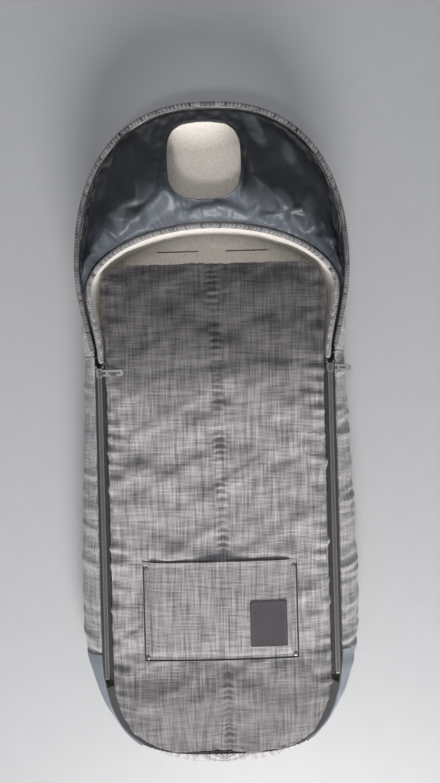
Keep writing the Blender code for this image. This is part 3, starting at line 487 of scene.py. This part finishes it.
# %% Side walls, gussets, head wall and toe wall
wall_crease = 0.75
gather_depths = {"left": 0.0011, "right": 0.0024}
for side, sign in (("left", -1), ("right", 1)):
    wall = skin(f"{side}_wall_cloth", f"{side}_side_wall", 4, wall_crease)
    places, normals = place_of(wall)
    height = places[:, 2] / places[:, 2].max()
    gathers = ridges(folds(places, (0, 1, 0.25), 0.35, 0.024, 3 + sign))
    gathers *= ease(folds(places, (0, 1, 0), 0.3, 0.11, 8 + sign), -0.9, 0.7)
    broad = folds(places, (0, 1, 0.4), 0.5, 0.06, 13 + sign)
    depth = gather_depths[side] * (0.35 + ease(height, 0.3, 1.0))
    outer = ease(normals[:, 0] * sign + normals[:, 2] * 0.6, -0.2, 0.4)
    push(wall, (gathers * depth + broad * 0.0012) * (0.3 + 0.7 * outer))
    threads_side(wall)
    dress(wall, wall_melange, "tub")
    gusset = skin(f"{side}_gusset_cloth", f"{side}_boot_gusset", 4, wall_crease)
    places, _ = place_of(gusset)
    push(gusset, folds(places, (0.4, 1, 0.2), 0.5, 0.05, 23 + sign) * 0.0009)
    dress(gusset, grey_nylon, "tub")

head = skin("head_wall_cloth", "head_wall", 3, wall_crease)
places, _ = place_of(head)
push(head, folds(places, (1, 0.7, 0.2), 0.5, 0.05, 31) * 0.0010)
threads_round(head, centre_y=0.255, radius=0.2)
dress(head, wall_melange, "tub")

toe = skin("toe_wall_cloth", "toe_wall", 4)
places, _ = place_of(toe)
push(toe, ridges(folds(places, (1, 0, 0.1), 0.2, 0.03, 37)) * 0.0007)
threads_round(toe, centre_y=-0.243, radius=0.22)
dress(toe, wall_melange, "tub")

# %% [markdown]
# Inside the tub the cloth is lined with fleece. Its pile hides all seams.
# The nylon underside and the fleece back keep their harness slots.
# The fleece closes over the shoulder slots, so there they are narrower.

# %% Linings, collar and bindings
for node_name in ("left_side_lining", "right_side_lining", "boot_lining", "collar_lining"):
    lining = skin(f"{node_name}_fleece", node_name, 3)
    places, _ = place_of(lining)
    push(lining, folds(places, (1, 1, 1), 1.0, 0.02, 41) * 0.0006)
    dress(lining, cream_fleece, "tub")

tape_crease, trim_crease, patch_crease = 0.9, 0.3, 0.4
for node_name, material, slot_name, levels in (
    ("collar_band", band_melange, "melange", 3),
    ("head_binding", rim_melange, "melange", 3),
    ("hole_hem", hem_satin, "satin", 3),
    ("toe_tape", black_tape, "tape", 2),
    ("left_tub_tape", black_tape, "tape", 3),
    ("right_tub_tape", black_tape, "tape", 3),
):
    crease = tape_crease if material is black_tape else trim_crease
    trim = skin(f"{node_name}_trim", node_name, levels, crease)
    if material in (band_melange, rim_melange):
        threads_round(trim, centre_y=0.235, radius=0.1)
    dress(trim, material, "tub")

slot_x, slot_y, slot_half, slot_near, slot_narrowed = 0.056, (0.312, 0.215), 0.04, 0.006, 0.3
for node_name, material, slot_name in (
    ("back_shell", grey_nylon, "nylon"),
    ("back_wadding", white_wadding, "wadding"),
    ("back_lining", cream_fleece, "lining"),
):
    layer = copy_of(f"{node_name}_layer", node_name)
    if node_name == "back_lining":
        places, _ = place_of(layer)
        for y in slot_y:
            near = np.abs(np.abs(places[:, 0]) - slot_x) < slot_half
            near &= np.abs(places[:, 1] - y) < slot_near
            places[:, 1] = np.where(near, y + (places[:, 1] - y) * slot_narrowed, places[:, 1])
        put(layer, places)
    bevel = layer.modifiers.new("soft edge", "BEVEL")
    bevel.width = 0.001
    bevel.segments = 2
    apply_all(layer)
    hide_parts(node_name)
    dress(layer, material, "tub")

# %% [markdown]
# At the head the fleece turns up inside the wall, so only fleece shows through the hole.
# Rays from the middle find the wall's inner face, and the fleece follows it with a round foot.

# %% The fleece that turns up at the head
def tree_of(mesh):
    bm = bmesh.new()
    bm.from_mesh(mesh)
    tree = BVHTree.FromBMesh(bm)
    bm.free()
    return tree


def grid_mesh(name, points, columns):
    """A sheet of four-sided faces through rows of points, each with this many columns."""
    count = len(points) // columns
    faces = [
        (i * columns + j, i * columns + j + 1, (i + 1) * columns + j + 1, (i + 1) * columns + j)
        for i in range(count - 1)
        for j in range(columns - 1)
    ]
    mesh = bpy.data.meshes.new(name)
    mesh.from_pydata(points, [], faces)
    return new_object(name, mesh)


wall_tree = tree_of(nodes["head_wall"].data)
fleece_sunk, fleece_off_wall = 0.0045, 0.0015
fleece_foot, fleece_top, foot_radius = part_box("back_lining")[1][2] - fleece_sunk, 0.104, 0.062
turn_centre_y, first_ray = 0.30, math.radians(4)
turn_points, turn_rays, turn_rows = [], 90, 18
for angle in np.linspace(first_ray, math.pi - first_ray, turn_rays):
    way = Vector((math.cos(angle), math.sin(angle), 0))
    for share in np.linspace(0, 1, turn_rows):
        height = fleece_foot + (fleece_top - fleece_foot) * share
        hit = wall_tree.ray_cast(Vector((0, turn_centre_y, height)), way)[0]
        rise = min((height - fleece_foot) / foot_radius, 1)
        inward = fleece_off_wall + foot_radius * (1 - math.sqrt(1 - (1 - rise) ** 2))
        turn_points.append(hit - way * inward)
turned = grid_mesh("head_turn_fleece", turn_points, turn_rows)
places, normals = place_of(turned)
lumps = folds(places, (1, 1, 1), 1.0, 0.03, 43) * 0.001
put(turned, places + np.sign(normals[:, 1:2]) * normals * lumps[:, None])
solidify = turned.modifiers.new("pile", "SOLIDIFY")
solidify.thickness = 0.004
solidify.offset = 1 if normals[:, 1].mean() < 0 else -1
apply_all(turned)
subdivide(turned, 1)
turned.data.shade_smooth()
dress(turned, cream_fleece, "tub")

# %% [markdown]
# The front is a padded panel: cloth over wadding, sewn through along the middle.
# The cloth and wadding of the toe, cover and flap are joined by one voxel remesh.
# A cloth simulation then blows the panel up a little, and the sewn lines hold it down.


# %% Joining and inflating the front
def cloth_run(obj, held, pressure, spare, frames, cap):
    """Lets the cloth swell from its rest shape, with spare cloth.
    Each point's way is shortened, so that none goes as far as the cap."""
    rest, _ = place_of(obj)
    group = obj.vertex_groups.new(name="held")
    for index, weight in enumerate(held):
        if weight > 0:
            group.add([index], float(weight), "REPLACE")
    modifier = obj.modifiers.new("cloth", "CLOTH")
    settings = modifier.settings
    settings.quality = 6
    settings.mass = 0.2
    settings.tension_stiffness = settings.compression_stiffness = 12
    settings.shear_stiffness = 4
    settings.bending_stiffness = 0.08
    settings.vertex_group_mass = "held"
    settings.shrink_min = -spare
    settings.use_pressure = pressure != 0
    settings.uniform_pressure_force = pressure
    settings.effector_weights.gravity = 0
    modifier.collision_settings.use_collision = False
    modifier.point_cache.frame_start = 1
    modifier.point_cache.frame_end = frames
    for frame_number in range(1, frames + 1):
        bpy.context.scene.frame_set(frame_number)
    apply_all(obj)
    bpy.context.scene.frame_set(1)
    places, _ = place_of(obj)
    moved = places - rest
    length = np.linalg.norm(moved, axis=1)
    share = cap / (length + cap)
    put(obj, rest + moved * share[:, None])
    print(obj.name, "moved at most", round(float((length * share).max()) * 1000, 1), "mm")


front_nodes = [f"{part}_{layer}" for part in ("toe", "cover", "flap") for layer in ("cloth", "wadding")]
front = copy_of("front_panel", *front_nodes)
voxel_size = 0.005
front.data.remesh_voxel_size = voxel_size
front.data.use_remesh_preserve_volume = True
only(front)
bpy.ops.object.voxel_remesh()
places, normals = place_of(front)
print("front", len(places), "points")
on_top = normals[:, 2] > 0.5
seam_held = on_top & (np.abs(places[:, 0]) < 0.0035)
underneath = normals[:, 2] < -0.3
flank = np.abs(normals[:, 2]) < 0.35
held = np.where(underneath | seam_held, 1.0, np.where(flank, 0.6, 0.0))
pocket_low, pocket_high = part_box("pocket_panel")
pocket_seam = 0.002
under_pocket = places[:, :2] > np.array(pocket_low[:2]) - pocket_seam
under_pocket &= places[:, :2] < np.array(pocket_high[:2]) + pocket_seam
held = np.where(under_pocket.all(axis=1), 1.0, held)
magnet_x, cover_magnet_y, flap_magnet_y = 0.146, 0.0025, 0.2595
magnet_hold_radius = 0.019
for y in (cover_magnet_y, flap_magnet_y):
    ring = np.abs(np.hypot(np.abs(places[:, 0]) - magnet_x, places[:, 1] - y) - magnet_hold_radius)
    held = np.where(on_top & (ring < 0.003), 0.85, held)
cloth_run(front, held, pressure=3.5, spare=0.035, frames=20, cap=0.006)

# %% [markdown]
# The panel bends at two joints, so it's split across the middle, where the pocket's mouth hides the line.
# So it's split across the middle, where the pocket's mouth hides the line.

# %% Splitting the front between its two joints
drift_y = (-0.45, -0.30, -0.15, 0.0, 0.15, 0.26)
drift_x = (0.0080, 0.0072, 0.0055, 0.0046, 0.0025, -0.0018)


def seam_drift(y):
    """How far the sewn middle wanders sideways from the middle of the cover."""
    return np.interp(y, drift_y, drift_x)


subdivide(front, 1)
places, _ = place_of(front)
drift_half_width = 0.15
places[:, 0] += seam_drift(places[:, 1]) * np.clip(1 - (places[:, 0] / drift_half_width) ** 2, 0, 1)
put(front, places)
places, normals = place_of(front)
inside_pocket = ((places[:, :2] > pocket_low[:2]) & (places[:, :2] < pocket_high[:2])).all(axis=1)
away = np.abs(places[:, 0])

# Broad folds over the whole front, and small gathers beside the zips
broad = folds(places, (0.25, 1, 0), 0.5, 0.085, 61) * 0.0026
broad += ridges(folds(places, (-0.35, 1, 0), 0.4, 0.052, 66)) * 0.0014
beside_zip = ease(away, 0.118, 0.160)
broad += ridges(folds(places, (0.1, 1, 0), 0.15, 0.021, 67)) * 0.0019 * beside_zip

# The sewn middle: a channel with puckers that lean outwards
pucker_pitch, pucker_height, channel_depth = 0.0105, 0.0021, 0.0026
seam_away = np.abs(places[:, 0] - seam_drift(places[:, 1]))
pucker_share = np.exp(-((seam_away - 0.003) / 0.0055) ** 2)
wander = 0.0025 * np.sin(places[:, 1] * 47 + 1.2) + 0.0015 * np.sin(places[:, 1] * 121)
pucker = np.sin(math.tau * (places[:, 1] + wander) / pucker_pitch + seam_away * 60)
strength = 0.65 + 0.35 * np.sin(places[:, 1] * 83 + 0.7)
pucker = ridges(pucker, 1.3) * strength * pucker_height * pucker_share
channel = -channel_depth * np.exp(-(seam_away / 0.0024) ** 2)

# The cloth rises above the pocket's mouth, and the flap's fold leaves a crease
mouth_y, mouth_rise = -0.158, 0.0035
mouth = mouth_rise * np.exp(-((places[:, 1] - mouth_y) / 0.011) ** 2) * ease(-away, -0.122, -0.108)
crease_y = 0.127 + 0.008 * np.sin(places[:, 0] * 19)
fold_crease = -0.0014 * np.exp(-((places[:, 1] - crease_y) / 0.009) ** 2)
fold_crease += 0.0012 * np.exp(-((places[:, 1] - crease_y + 0.022) / 0.018) ** 2)

up = ease(normals[:, 2], 0.2, 0.7)
push(front, (broad + pucker + channel + fold_crease + mouth) * up * np.where(inside_pocket, 0.0, 1.0))

# The foot hangs a little over its tape
places, normals = place_of(front)
overhang = ease(-places[:, 1], 0.27, 0.36) * ease(-np.abs(normals[:, 2]), -0.8, -0.4)
overhang *= ease(places[:, 2], 0.04, 0.055)
push(front, overhang * 0.0018)
split_y = pocket_high[1] - 0.004
fold_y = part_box("flap_cloth")[0][1]


def part_of(obj, name, keep_above):
    """The part of a piece on one side of the split, as its own closed piece."""
    half = obj.copy()
    half.data = obj.data.copy()
    half.name = name
    bpy.context.scene.collection.objects.link(half)
    only(half)
    bpy.ops.object.mode_set(mode="EDIT")
    bpy.ops.mesh.select_all(action="SELECT")
    bpy.ops.mesh.bisect(
        plane_co=(0, split_y, 0),
        plane_no=(0, 1, 0),
        use_fill=True,
        clear_inner=keep_above,
        clear_outer=not keep_above,
    )
    bpy.ops.object.mode_set(mode="OBJECT")
    half.data.shade_smooth()
    bpy.ops.object.shade_smooth_by_angle(angle=math.radians(70))
    return half


lower = part_of(front, "front_lower_cloth", False)
upper = part_of(front, "front_upper_cloth", True)
bpy.data.objects.remove(front)
for piece in (lower, upper):
    places, _ = place_of(piece)
    down = -places[:, 1]
    # Painted shade: the tone darkens the flap's end and fades out towards the cover's middle; the front is
    # also darker towards the toe.
    painted_shade_and_toe_tone = 0.32 + 0.68 * ease(down, -0.18, -0.03) - 0.52 * ease(down, 0.28, 0.38)
    lay_threads(piece, places[:, 0], places[:, 1], painted_shade_and_toe_tone)
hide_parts("toe_cloth", "toe_wadding", "cover_cloth", "cover_wadding")
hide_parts("flap_cloth", "flap_wadding")
dress(lower, cover_melange, None)
dress(upper, cover_melange, None)
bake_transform(lower)
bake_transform(upper)

for part, body in (("toe", "tub"), ("cover", "cover"), ("flap", "cover_flap")):
    lining = skin(f"{part}_front_lining", f"{part}_lining", 4)
    dress(lining, painted_shade_front_fleece, body)

# %% [markdown]
# The satin sheet hangs loose between the head rim and the collar, so it is full of folds.
# It starts as a fan of rows over the CAD sheet, and a simulation with spare cloth wrinkles it.
# The hole is cut afterwards, and the cloth gets its thickness last.
# The top edge of the cloth at the hole is drawn onto the hem's own curve.

# %% The satin sheet as a fan of rows
ray_top, straight_down = 0.3, Vector((0, 0, -1))


def height_over(tree, x, y):
    """Height of the first surface below a point, or None over a gap."""
    hit = tree.ray_cast(Vector((x, y, ray_top)), straight_down)[0]
    return None if hit is None else hit.z


def on_ray(centre_y, angle, radius):
    """A place in plan, at a distance from a centre on the middle line."""
    return radius * math.cos(angle), centre_y + radius * math.sin(angle)


def first_on(tree, centre_y, angle, steps):
    """The first of these distances that has the surface under it."""
    return next(radius for radius in steps if height_over(tree, *on_ray(centre_y, angle, radius)) is not None)


sheet_tree = tree_of(nodes["satin_sheet"].data)
fan_y = 0.19
fan_turns, fan_rows = 170, 46
first_turn = math.radians(13)
outwards = np.linspace(0.04, 0.34, 301)
inwards = np.linspace(0.34, 0.04, 301)

fan_points = []
for angle in np.linspace(first_turn, math.pi - first_turn, fan_turns):
    near, far = (first_on(sheet_tree, fan_y, angle, steps) for steps in (outwards, inwards))
    radii = np.linspace(near, far, fan_rows)
    heights = [height_over(sheet_tree, *on_ray(fan_y, angle, radius)) for radius in radii]
    known = [i for i, height in enumerate(heights) if height is not None]
    heights = np.interp(range(fan_rows), known, [heights[i] for i in known])
    fan_points += [(*on_ray(fan_y, angle, radius), height) for radius, height in zip(radii, heights)]
satin = grid_mesh("satin_cloth", fan_points, fan_rows)
only(satin)
bpy.ops.object.mode_set(mode="EDIT")
bpy.ops.mesh.select_all(action="SELECT")
bpy.ops.mesh.normals_make_consistent(inside=False)
bpy.ops.object.mode_set(mode="OBJECT")
_, normals = place_of(satin)
if normals[:, 2].mean() < 0:
    satin.data.flip_normals()
print("satin", len(normals), "points")

# %% Wrinkling the satin, cutting its hole and giving it thickness
hole_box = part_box("hole_hem")
hem_width = 0.004
hole_centre = [(low + high) / 2 for low, high in zip(*hole_box)][:2]
hole_half = [(high - low) / 2 - hem_width for low, high in zip(*hole_box)][:2]
hole_power = 3.2


def hole_share(x, y):
    """Under 1 inside the hole, 1 on its edge."""
    across = np.abs((x - hole_centre[0]) / hole_half[0]) ** hole_power
    along = np.abs((y - hole_centre[1]) / hole_half[1]) ** hole_power
    return (across + along) ** (1 / hole_power)


# The sheet's folds: start, end, height and half width, in metres
satin_folds = (
    ((-0.180, 0.275), (-0.120, 0.330), 0.01000, 0.01350),
    ((-0.120, 0.330), (-0.062, 0.376), 0.01125, 0.01215),
    ((-0.160, 0.262), (-0.090, 0.318), 0.00875, 0.01215),
    ((-0.090, 0.318), (0.000, 0.350), 0.00875, 0.01350),
    ((-0.118, 0.300), (-0.010, 0.336), 0.00625, 0.00945),
    ((-0.118, 0.470), (-0.105, 0.370), 0.00750, 0.01350),
    ((0.052, 0.455), (0.066, 0.392), 0.01125, 0.01485),
    ((0.066, 0.392), (0.106, 0.352), 0.01250, 0.01485),
    ((0.106, 0.352), (0.176, 0.262), 0.00875, 0.01215),
    ((0.080, 0.338), (0.130, 0.346), 0.01000, 0.00810),
    ((0.130, 0.346), (0.150, 0.376), 0.00625, 0.00945),
    ((0.096, 0.344), (0.122, 0.300), 0.00875, 0.00810),
    ((0.122, 0.318), (0.172, 0.300), 0.00750, 0.00810),
    ((0.135, 0.290), (0.186, 0.246), 0.01000, 0.00810),
    ((0.010, 0.356), (0.070, 0.330), 0.00750, 0.01080),
    ((0.090, 0.470), (0.160, 0.380), 0.00625, 0.01620),
)


def along_line(places, start, end):
    """Distance from each place to a line's nearest point, seen from above."""
    start, end = np.array(start), np.array(end)
    way = end - start
    share = np.clip((places[:, :2] - start) @ way / (way @ way), 0, 1)
    return np.hypot(*(places[:, :2] - start - share[:, None] * way).T)


places, _ = place_of(satin)
row_share = np.tile(np.arange(fan_rows) / (fan_rows - 1), fan_turns)
turn_share = np.repeat(np.arange(fan_turns) / (fan_turns - 1), fan_rows)
from_edge = np.minimum(row_share, 1 - row_share)
from_end = np.minimum(turn_share, 1 - turn_share)
loose = ease(from_edge, 0.0, 0.12) * ease(from_end, 0, 0.03)
lift = np.zeros(len(places))
for start, end, height, half_width in satin_folds:
    lift = np.maximum(lift, height * np.exp(-(along_line(places, start, end) / half_width) ** 2))
hole_edge = hole_share(places[:, 0], places[:, 1])
calm = ease(np.abs(hole_edge - 1), 0.0, 0.18)
mound_height = 0.017
mound = mound_height * np.sin(math.pi * ease(row_share, 0, 1) ** 0.75) * ease(from_end, 0, 0.12)
small = folds(places, (1, 0.6, 0), 0.9, 0.03, 71) * 0.0010
places[:, 2] += mound * loose + (lift + small) * loose * calm
put(satin, places)
held = np.where(loose < 0.02, 1.0, 0.0)
held = np.maximum(held, np.where(np.abs(hole_edge - 1) < 0.05, 0.9, 0.0))
cloth_run(satin, held, pressure=0.0, spare=0.03, frames=24, cap=0.012)
bm = bmesh.new()
bm.from_mesh(satin.data)
inside = [face for face in bm.faces if all(hole_share(v.co.x, v.co.y) < 0.995 for v in face.verts)]
bmesh.ops.delete(bm, geom=inside, context="FACES")
for vert in bm.verts:
    out = float(hole_share(vert.co.x, vert.co.y))
    if vert.is_boundary and out < 1.2:
        vert.co.x = hole_centre[0] + (vert.co.x - hole_centre[0]) / out
        vert.co.y = hole_centre[1] + (vert.co.y - hole_centre[1]) / out
bm.to_mesh(satin.data)
bm.free()
solidify = satin.modifiers.new("thickness", "SOLIDIFY")
solidify.thickness = 0.0012
solidify.offset = -1
apply_all(satin)
subdivide(satin, 1)
satin.data.shade_smooth()

# The painted sheen: the colour is lighter in a band along the collar and in a patch right of the hole, and
# dark elsewhere
places, _ = place_of(satin)
collar_y = 0.16
angle = np.arctan2(places[:, 1] - collar_y, places[:, 0])
beyond = np.hypot(places[:, 0], places[:, 1] - collar_y)
near_collar = np.interp(angle, (0.3, 0.9, 1.57, 2.2, 2.9), (0.165, 0.185, 0.175, 0.19, 0.16))
wander = folds(places, (1, 0.4, 0), 0.8, 0.09, 77)
painted_sheen = 1 - ease(beyond - near_collar + 0.016 * wander, 0.012, 0.062)
painted_sheen = np.maximum(painted_sheen, 0.5 * ease(wander, 0.5, 1.2) * ease(places[:, 0], 0.0, 0.08))
lay_threads(satin, places[:, 0], places[:, 1], 0.15 + 0.85 * painted_sheen)
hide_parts("satin_sheet")
dress(satin, slate_satin, "tub")
satin_area = sum(face.area for face in satin.data.polygons) / 2
print("satin area", round(satin_area, 4), "m2")

# %% [markdown]
# The pocket, its welt and the label are flat patches on the cover, and the label stays bare.
# The zips' tapes keep sharp edges, so their creases are strong.

# %% Pocket, label and tapes
for node_name, material, slot_name in (
    ("pocket_panel", pocket_melange, "melange"),
    ("pocket_welt", wall_melange, "tape"),
    ("label", grey_leather, "leather"),
    ("left_cover_tape", black_tape, "tape"),
    ("right_cover_tape", black_tape, "tape"),
):
    crease = tape_crease if material is black_tape else patch_crease
    piece = skin(f"{node_name}_cloth", node_name, 3, crease)
    if material in (pocket_melange, wall_melange):
        threads_flat(piece)
    dress(piece, material, "cover")

# %% [markdown]
# The pocket's sewn edges show as a thin dark cord. It's a curve with a round bevel, made into a mesh.
# Rays from above lay it on the cover, beside the pocket's cloth.

# %% The dark cord round the pocket
def cord(name, path, radius, tree, lift):
    """A round cord through places in plan, laid on a surface."""
    curve = bpy.data.curves.new(name, "CURVE")
    curve.dimensions = "3D"
    curve.bevel_depth = radius
    curve.bevel_resolution = 2
    spline = curve.splines.new("POLY")
    spline.points.add(len(path) - 1)
    for point, (x, y) in zip(spline.points, path):
        point.co = (x, y, height_over(tree, x, y) + lift, 1)
    only(new_object(name, curve))
    bpy.ops.object.convert(target="MESH")
    bpy.context.object.data.shade_smooth()
    return bpy.context.object


def along_path(corners, step):
    """Even places along straight lines between corners."""
    path = []
    for start, end in zip(corners, corners[1:]):
        count = max(int(math.dist(start, end) / step), 1)
        for i in range(count):
            path.append(tuple(first + (last - first) * i / count for first, last in zip(start, end)))
    return path + [corners[-1]]


pocket_tree = tree_of(nodes["pocket_panel"].data)
cord_inset, cord_below_mouth = 0.0012, 0.001
cord_radius, cord_lift, cord_step = 0.0011, 0.0002, 0.004
cord_left, cord_right = pocket_low[0] + cord_inset, pocket_high[0] - cord_inset
cord_bottom, cord_top = pocket_low[1] + cord_inset, pocket_high[1] - cord_below_mouth
cord_corners = (
    (cord_left, cord_top),
    (cord_left, cord_bottom),
    (cord_right, cord_bottom),
    (cord_right, cord_top),
)
cord_path = along_path(cord_corners, cord_step)
edge_cord = cord("pocket_edge_cord", cord_path, cord_radius, pocket_tree, cord_lift)
dress(edge_cord, black_tape, "cover")

# %% [markdown]
# The stitches are short threads laid in rows. Each one is a slim body with eight faces.
# A ray from above puts it on the cloth, so that the rows follow every fold.

# %% Rows of stitches
thread_grey = grained("thread grey", (0.055, 0.052, 0.056, 1), 0.8, 900.0, 0.3, 0.1, 0.0002)
leather_thread = grained("leather thread", (0.16, 0.15, 0.16, 1), 0.8, 900.0, 0.3, 0.1, 0.0002)


stitch_length, stitch_width = 0.0030, 0.00050


def stitches(name, rows, tree, pitch=0.0040):
    """Rows of stitches on a surface. Each row is a line of places in plan."""
    bm = bmesh.new()
    for row in rows:
        line = np.array(row, float)
        steps = np.hypot(*np.diff(line, axis=0).T)
        far = np.concatenate([[0], np.cumsum(steps)])
        for reached in np.arange(pitch / 2, far[-1], pitch):
            x, y = (float(np.interp(reached, far, line[:, i])) for i in (0, 1))
            ahead = [float(np.interp(reached + 0.001, far, line[:, i])) for i in (0, 1)]
            back = [float(np.interp(reached - 0.001, far, line[:, i])) for i in (0, 1)]
            hit, normal, _, _ = tree.ray_cast(Vector((x, y, ray_top)), straight_down)
            if hit is None or normal.z < 0.3:
                continue
            way = Vector((ahead[0] - back[0], ahead[1] - back[1], 0))
            way = (way - normal * way.dot(normal)).normalized()
            side = normal.cross(way)
            ends = [bm.verts.new(hit + way * stitch_length / 2 * sign) for sign in (1, -1)]
            ring = [
                bm.verts.new(hit + side * stitch_width * a + normal * stitch_width * b)
                for a, b in ((1, 0.2), (0, 1.1), (-1, 0.2), (0, -0.8))
            ]
            for i in range(4):
                bm.faces.new((ends[0], ring[i], ring[(i + 1) % 4]))
                bm.faces.new((ends[1], ring[(i + 1) % 4], ring[i]))
    bmesh.ops.recalc_face_normals(bm, faces=bm.faces)
    mesh = bpy.data.meshes.new(name)
    bm.to_mesh(mesh)
    bm.free()
    mesh.shade_smooth()
    print(name, len(mesh.polygons) // 8, "stitches")
    return new_object(name, mesh)


def ring_row(x, y, radius):
    return [(x + radius * math.cos(a), y + radius * math.sin(a)) for a in np.linspace(0, math.tau, 49)]


def frame_row(box, inset, open_top=False):
    """A row just inside a piece's edges."""
    (left, bottom, _), (right, top, _) = box
    left, bottom, right, top = left + inset, bottom + inset, right - inset, top - inset
    corners = [(left, top), (left, bottom), (right, bottom), (right, top)]
    return corners if open_top else corners + [(left, top)]


upper_tree, lower_tree = tree_of(upper.data), tree_of(lower.data)
flap_tree = tree_of(nodes["flap_cloth"].data)
flap_inwards = np.linspace(0.24, 0.08, 321)
flap_angles = np.linspace(first_ray, math.pi - first_ray, 87)
flap_line = [(angle, first_on(flap_tree, fold_y, angle, flap_inwards)) for angle in flap_angles]
flap_rows = [[on_ray(fold_y, angle, far - inset) for angle, far in flap_line] for inset in (0.011, 0.0145)]
ring_radius = 0.018
ring_places = [(x, y) for x in (-magnet_x, magnet_x) for y in (cover_magnet_y, flap_magnet_y - 0.002)]
flap_rows += [ring_row(x, y, ring_radius) for x, y in ring_places]
seam_row = [(float(seam_drift(y)), float(y)) for y in np.linspace(-0.46, 0.27, 147)]
above = [place for place in seam_row if place[1] > pocket_high[1] + pocket_seam]
below = [place for place in seam_row if place[1] < pocket_low[1] - pocket_seam]
upper_stitches = stitches("upper_stitches", flap_rows + [above], upper_tree)
lower_stitches = stitches("lower_stitches", [below], lower_tree)
dress(upper_stitches, thread_grey, None)
dress(lower_stitches, thread_grey, None)
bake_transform(lower_stitches)
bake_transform(upper_stitches)

pocket_cloth, label_cloth = bpy.data.objects["pocket_panel_cloth"], bpy.data.objects["label_cloth"]
on_pocket = [place for place in seam_row if pocket_low[1] + 0.004 < place[1] < pocket_high[1] - 0.008]
pocket_rows = [[(x + shift, y) for x, y in on_pocket] for shift in (-0.004, 0.004)]
pocket_rows.append(frame_row(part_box("pocket_panel"), 0.0055, open_top=True))
pocket_stitches = stitches("pocket_stitches", pocket_rows, tree_of(pocket_cloth.data))
dress(pocket_stitches, thread_grey, "cover")
label_rows = [frame_row(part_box("label"), 0.0035)]
label_stitches = stitches("label_stitches", label_rows, tree_of(label_cloth.data), pitch=0.0034)
dress(label_stitches, leather_thread, "cover")

# %% [markdown]
# Teeth, stops, sliders, pulls, rivets and magnets are hard, so their solids are shown as they are.

# %% Rigid nodes keep their solids
finish_of = {
    "teeth": grey_teeth,
    "stop": gunmetal,
    "slider": gunmetal,
    "link": gunmetal,
    "pull": pull_metal_painted_reflection,
    "rivet": gunmetal,
    "magnet": bright_magnet,
}
for node_name, node in nodes.items():
    for word, material in finish_of.items():
        if node_name.endswith(word):
            node.data.materials.clear()
            node.data.materials.append(material)

# %% [markdown]
# The footmuff lies on a pale floor and is seen from above. One large light stands beyond its foot.
# A weak light hangs over it, and a narrow one shines on the fleece in the satin's hole.

# %% Floor, light and camera
bpy.ops.object.select_all(action="DESELECT")
bpy.ops.mesh.primitive_plane_add(size=8, location=(0, 0, -0.0005))
floor = bpy.context.object
floor.name = "floor"
floor.data.materials.append(grained("pale floor", (0.44, 0.445, 0.455, 1), 0.6, 20.0, 0.05, 0.0, 0.001))

world = bpy.data.worlds.new("studio")
bpy.context.scene.world = world
world.use_nodes = True
background = world.node_tree.nodes["Background"]
background.inputs["Color"].default_value = (0.9, 0.93, 1.0, 1)
background.inputs["Strength"].default_value = 0.36


def lamp(name, kind, place, aim, power, colour):
    """A light at a place, aimed at a point."""
    data = bpy.data.lights.new(name, kind)
    data.energy = power
    data.color = colour
    obj = new_object(name, data)
    obj.location = place
    obj.rotation_euler = (Vector(aim) - Vector(place)).to_track_quat("-Z", "Y").to_euler()
    return data


window = lamp("window", "AREA", (0.22, -2.1, 1.30), (0, 0.1, 0), 84, (1.0, 0.985, 0.96))
window.shape = "DISK"
window.size = 1.2
top_light = lamp("top light", "AREA", (-0.1, 0.30, 1.9), (0, 0.3, 0), 4, (1.0, 0.97, 0.93))
top_light.shape = "DISK"
top_light.size = 0.6
spot = lamp("head spot", "SPOT", (-0.10, -0.30, 1.25), (-0.008, 0.448, 0.08), 43, (1.0, 0.98, 0.95))
spot.spot_size = math.radians(9)
spot.spot_blend = 0.9
spot.shadow_soft_size = 0.12

camera_data = bpy.data.cameras.new("camera")
camera_data.lens = 27.6
camera_data.sensor_width = 36
camera_data.clip_start = 0.05
camera = new_object("camera", camera_data)
camera.location = (0.007, 0.085, 0.99)
camera.rotation_euler = (0, 0, math.radians(-1.5))
bpy.context.scene.camera = camera
bpy.context.scene.view_settings.view_transform = "Standard"
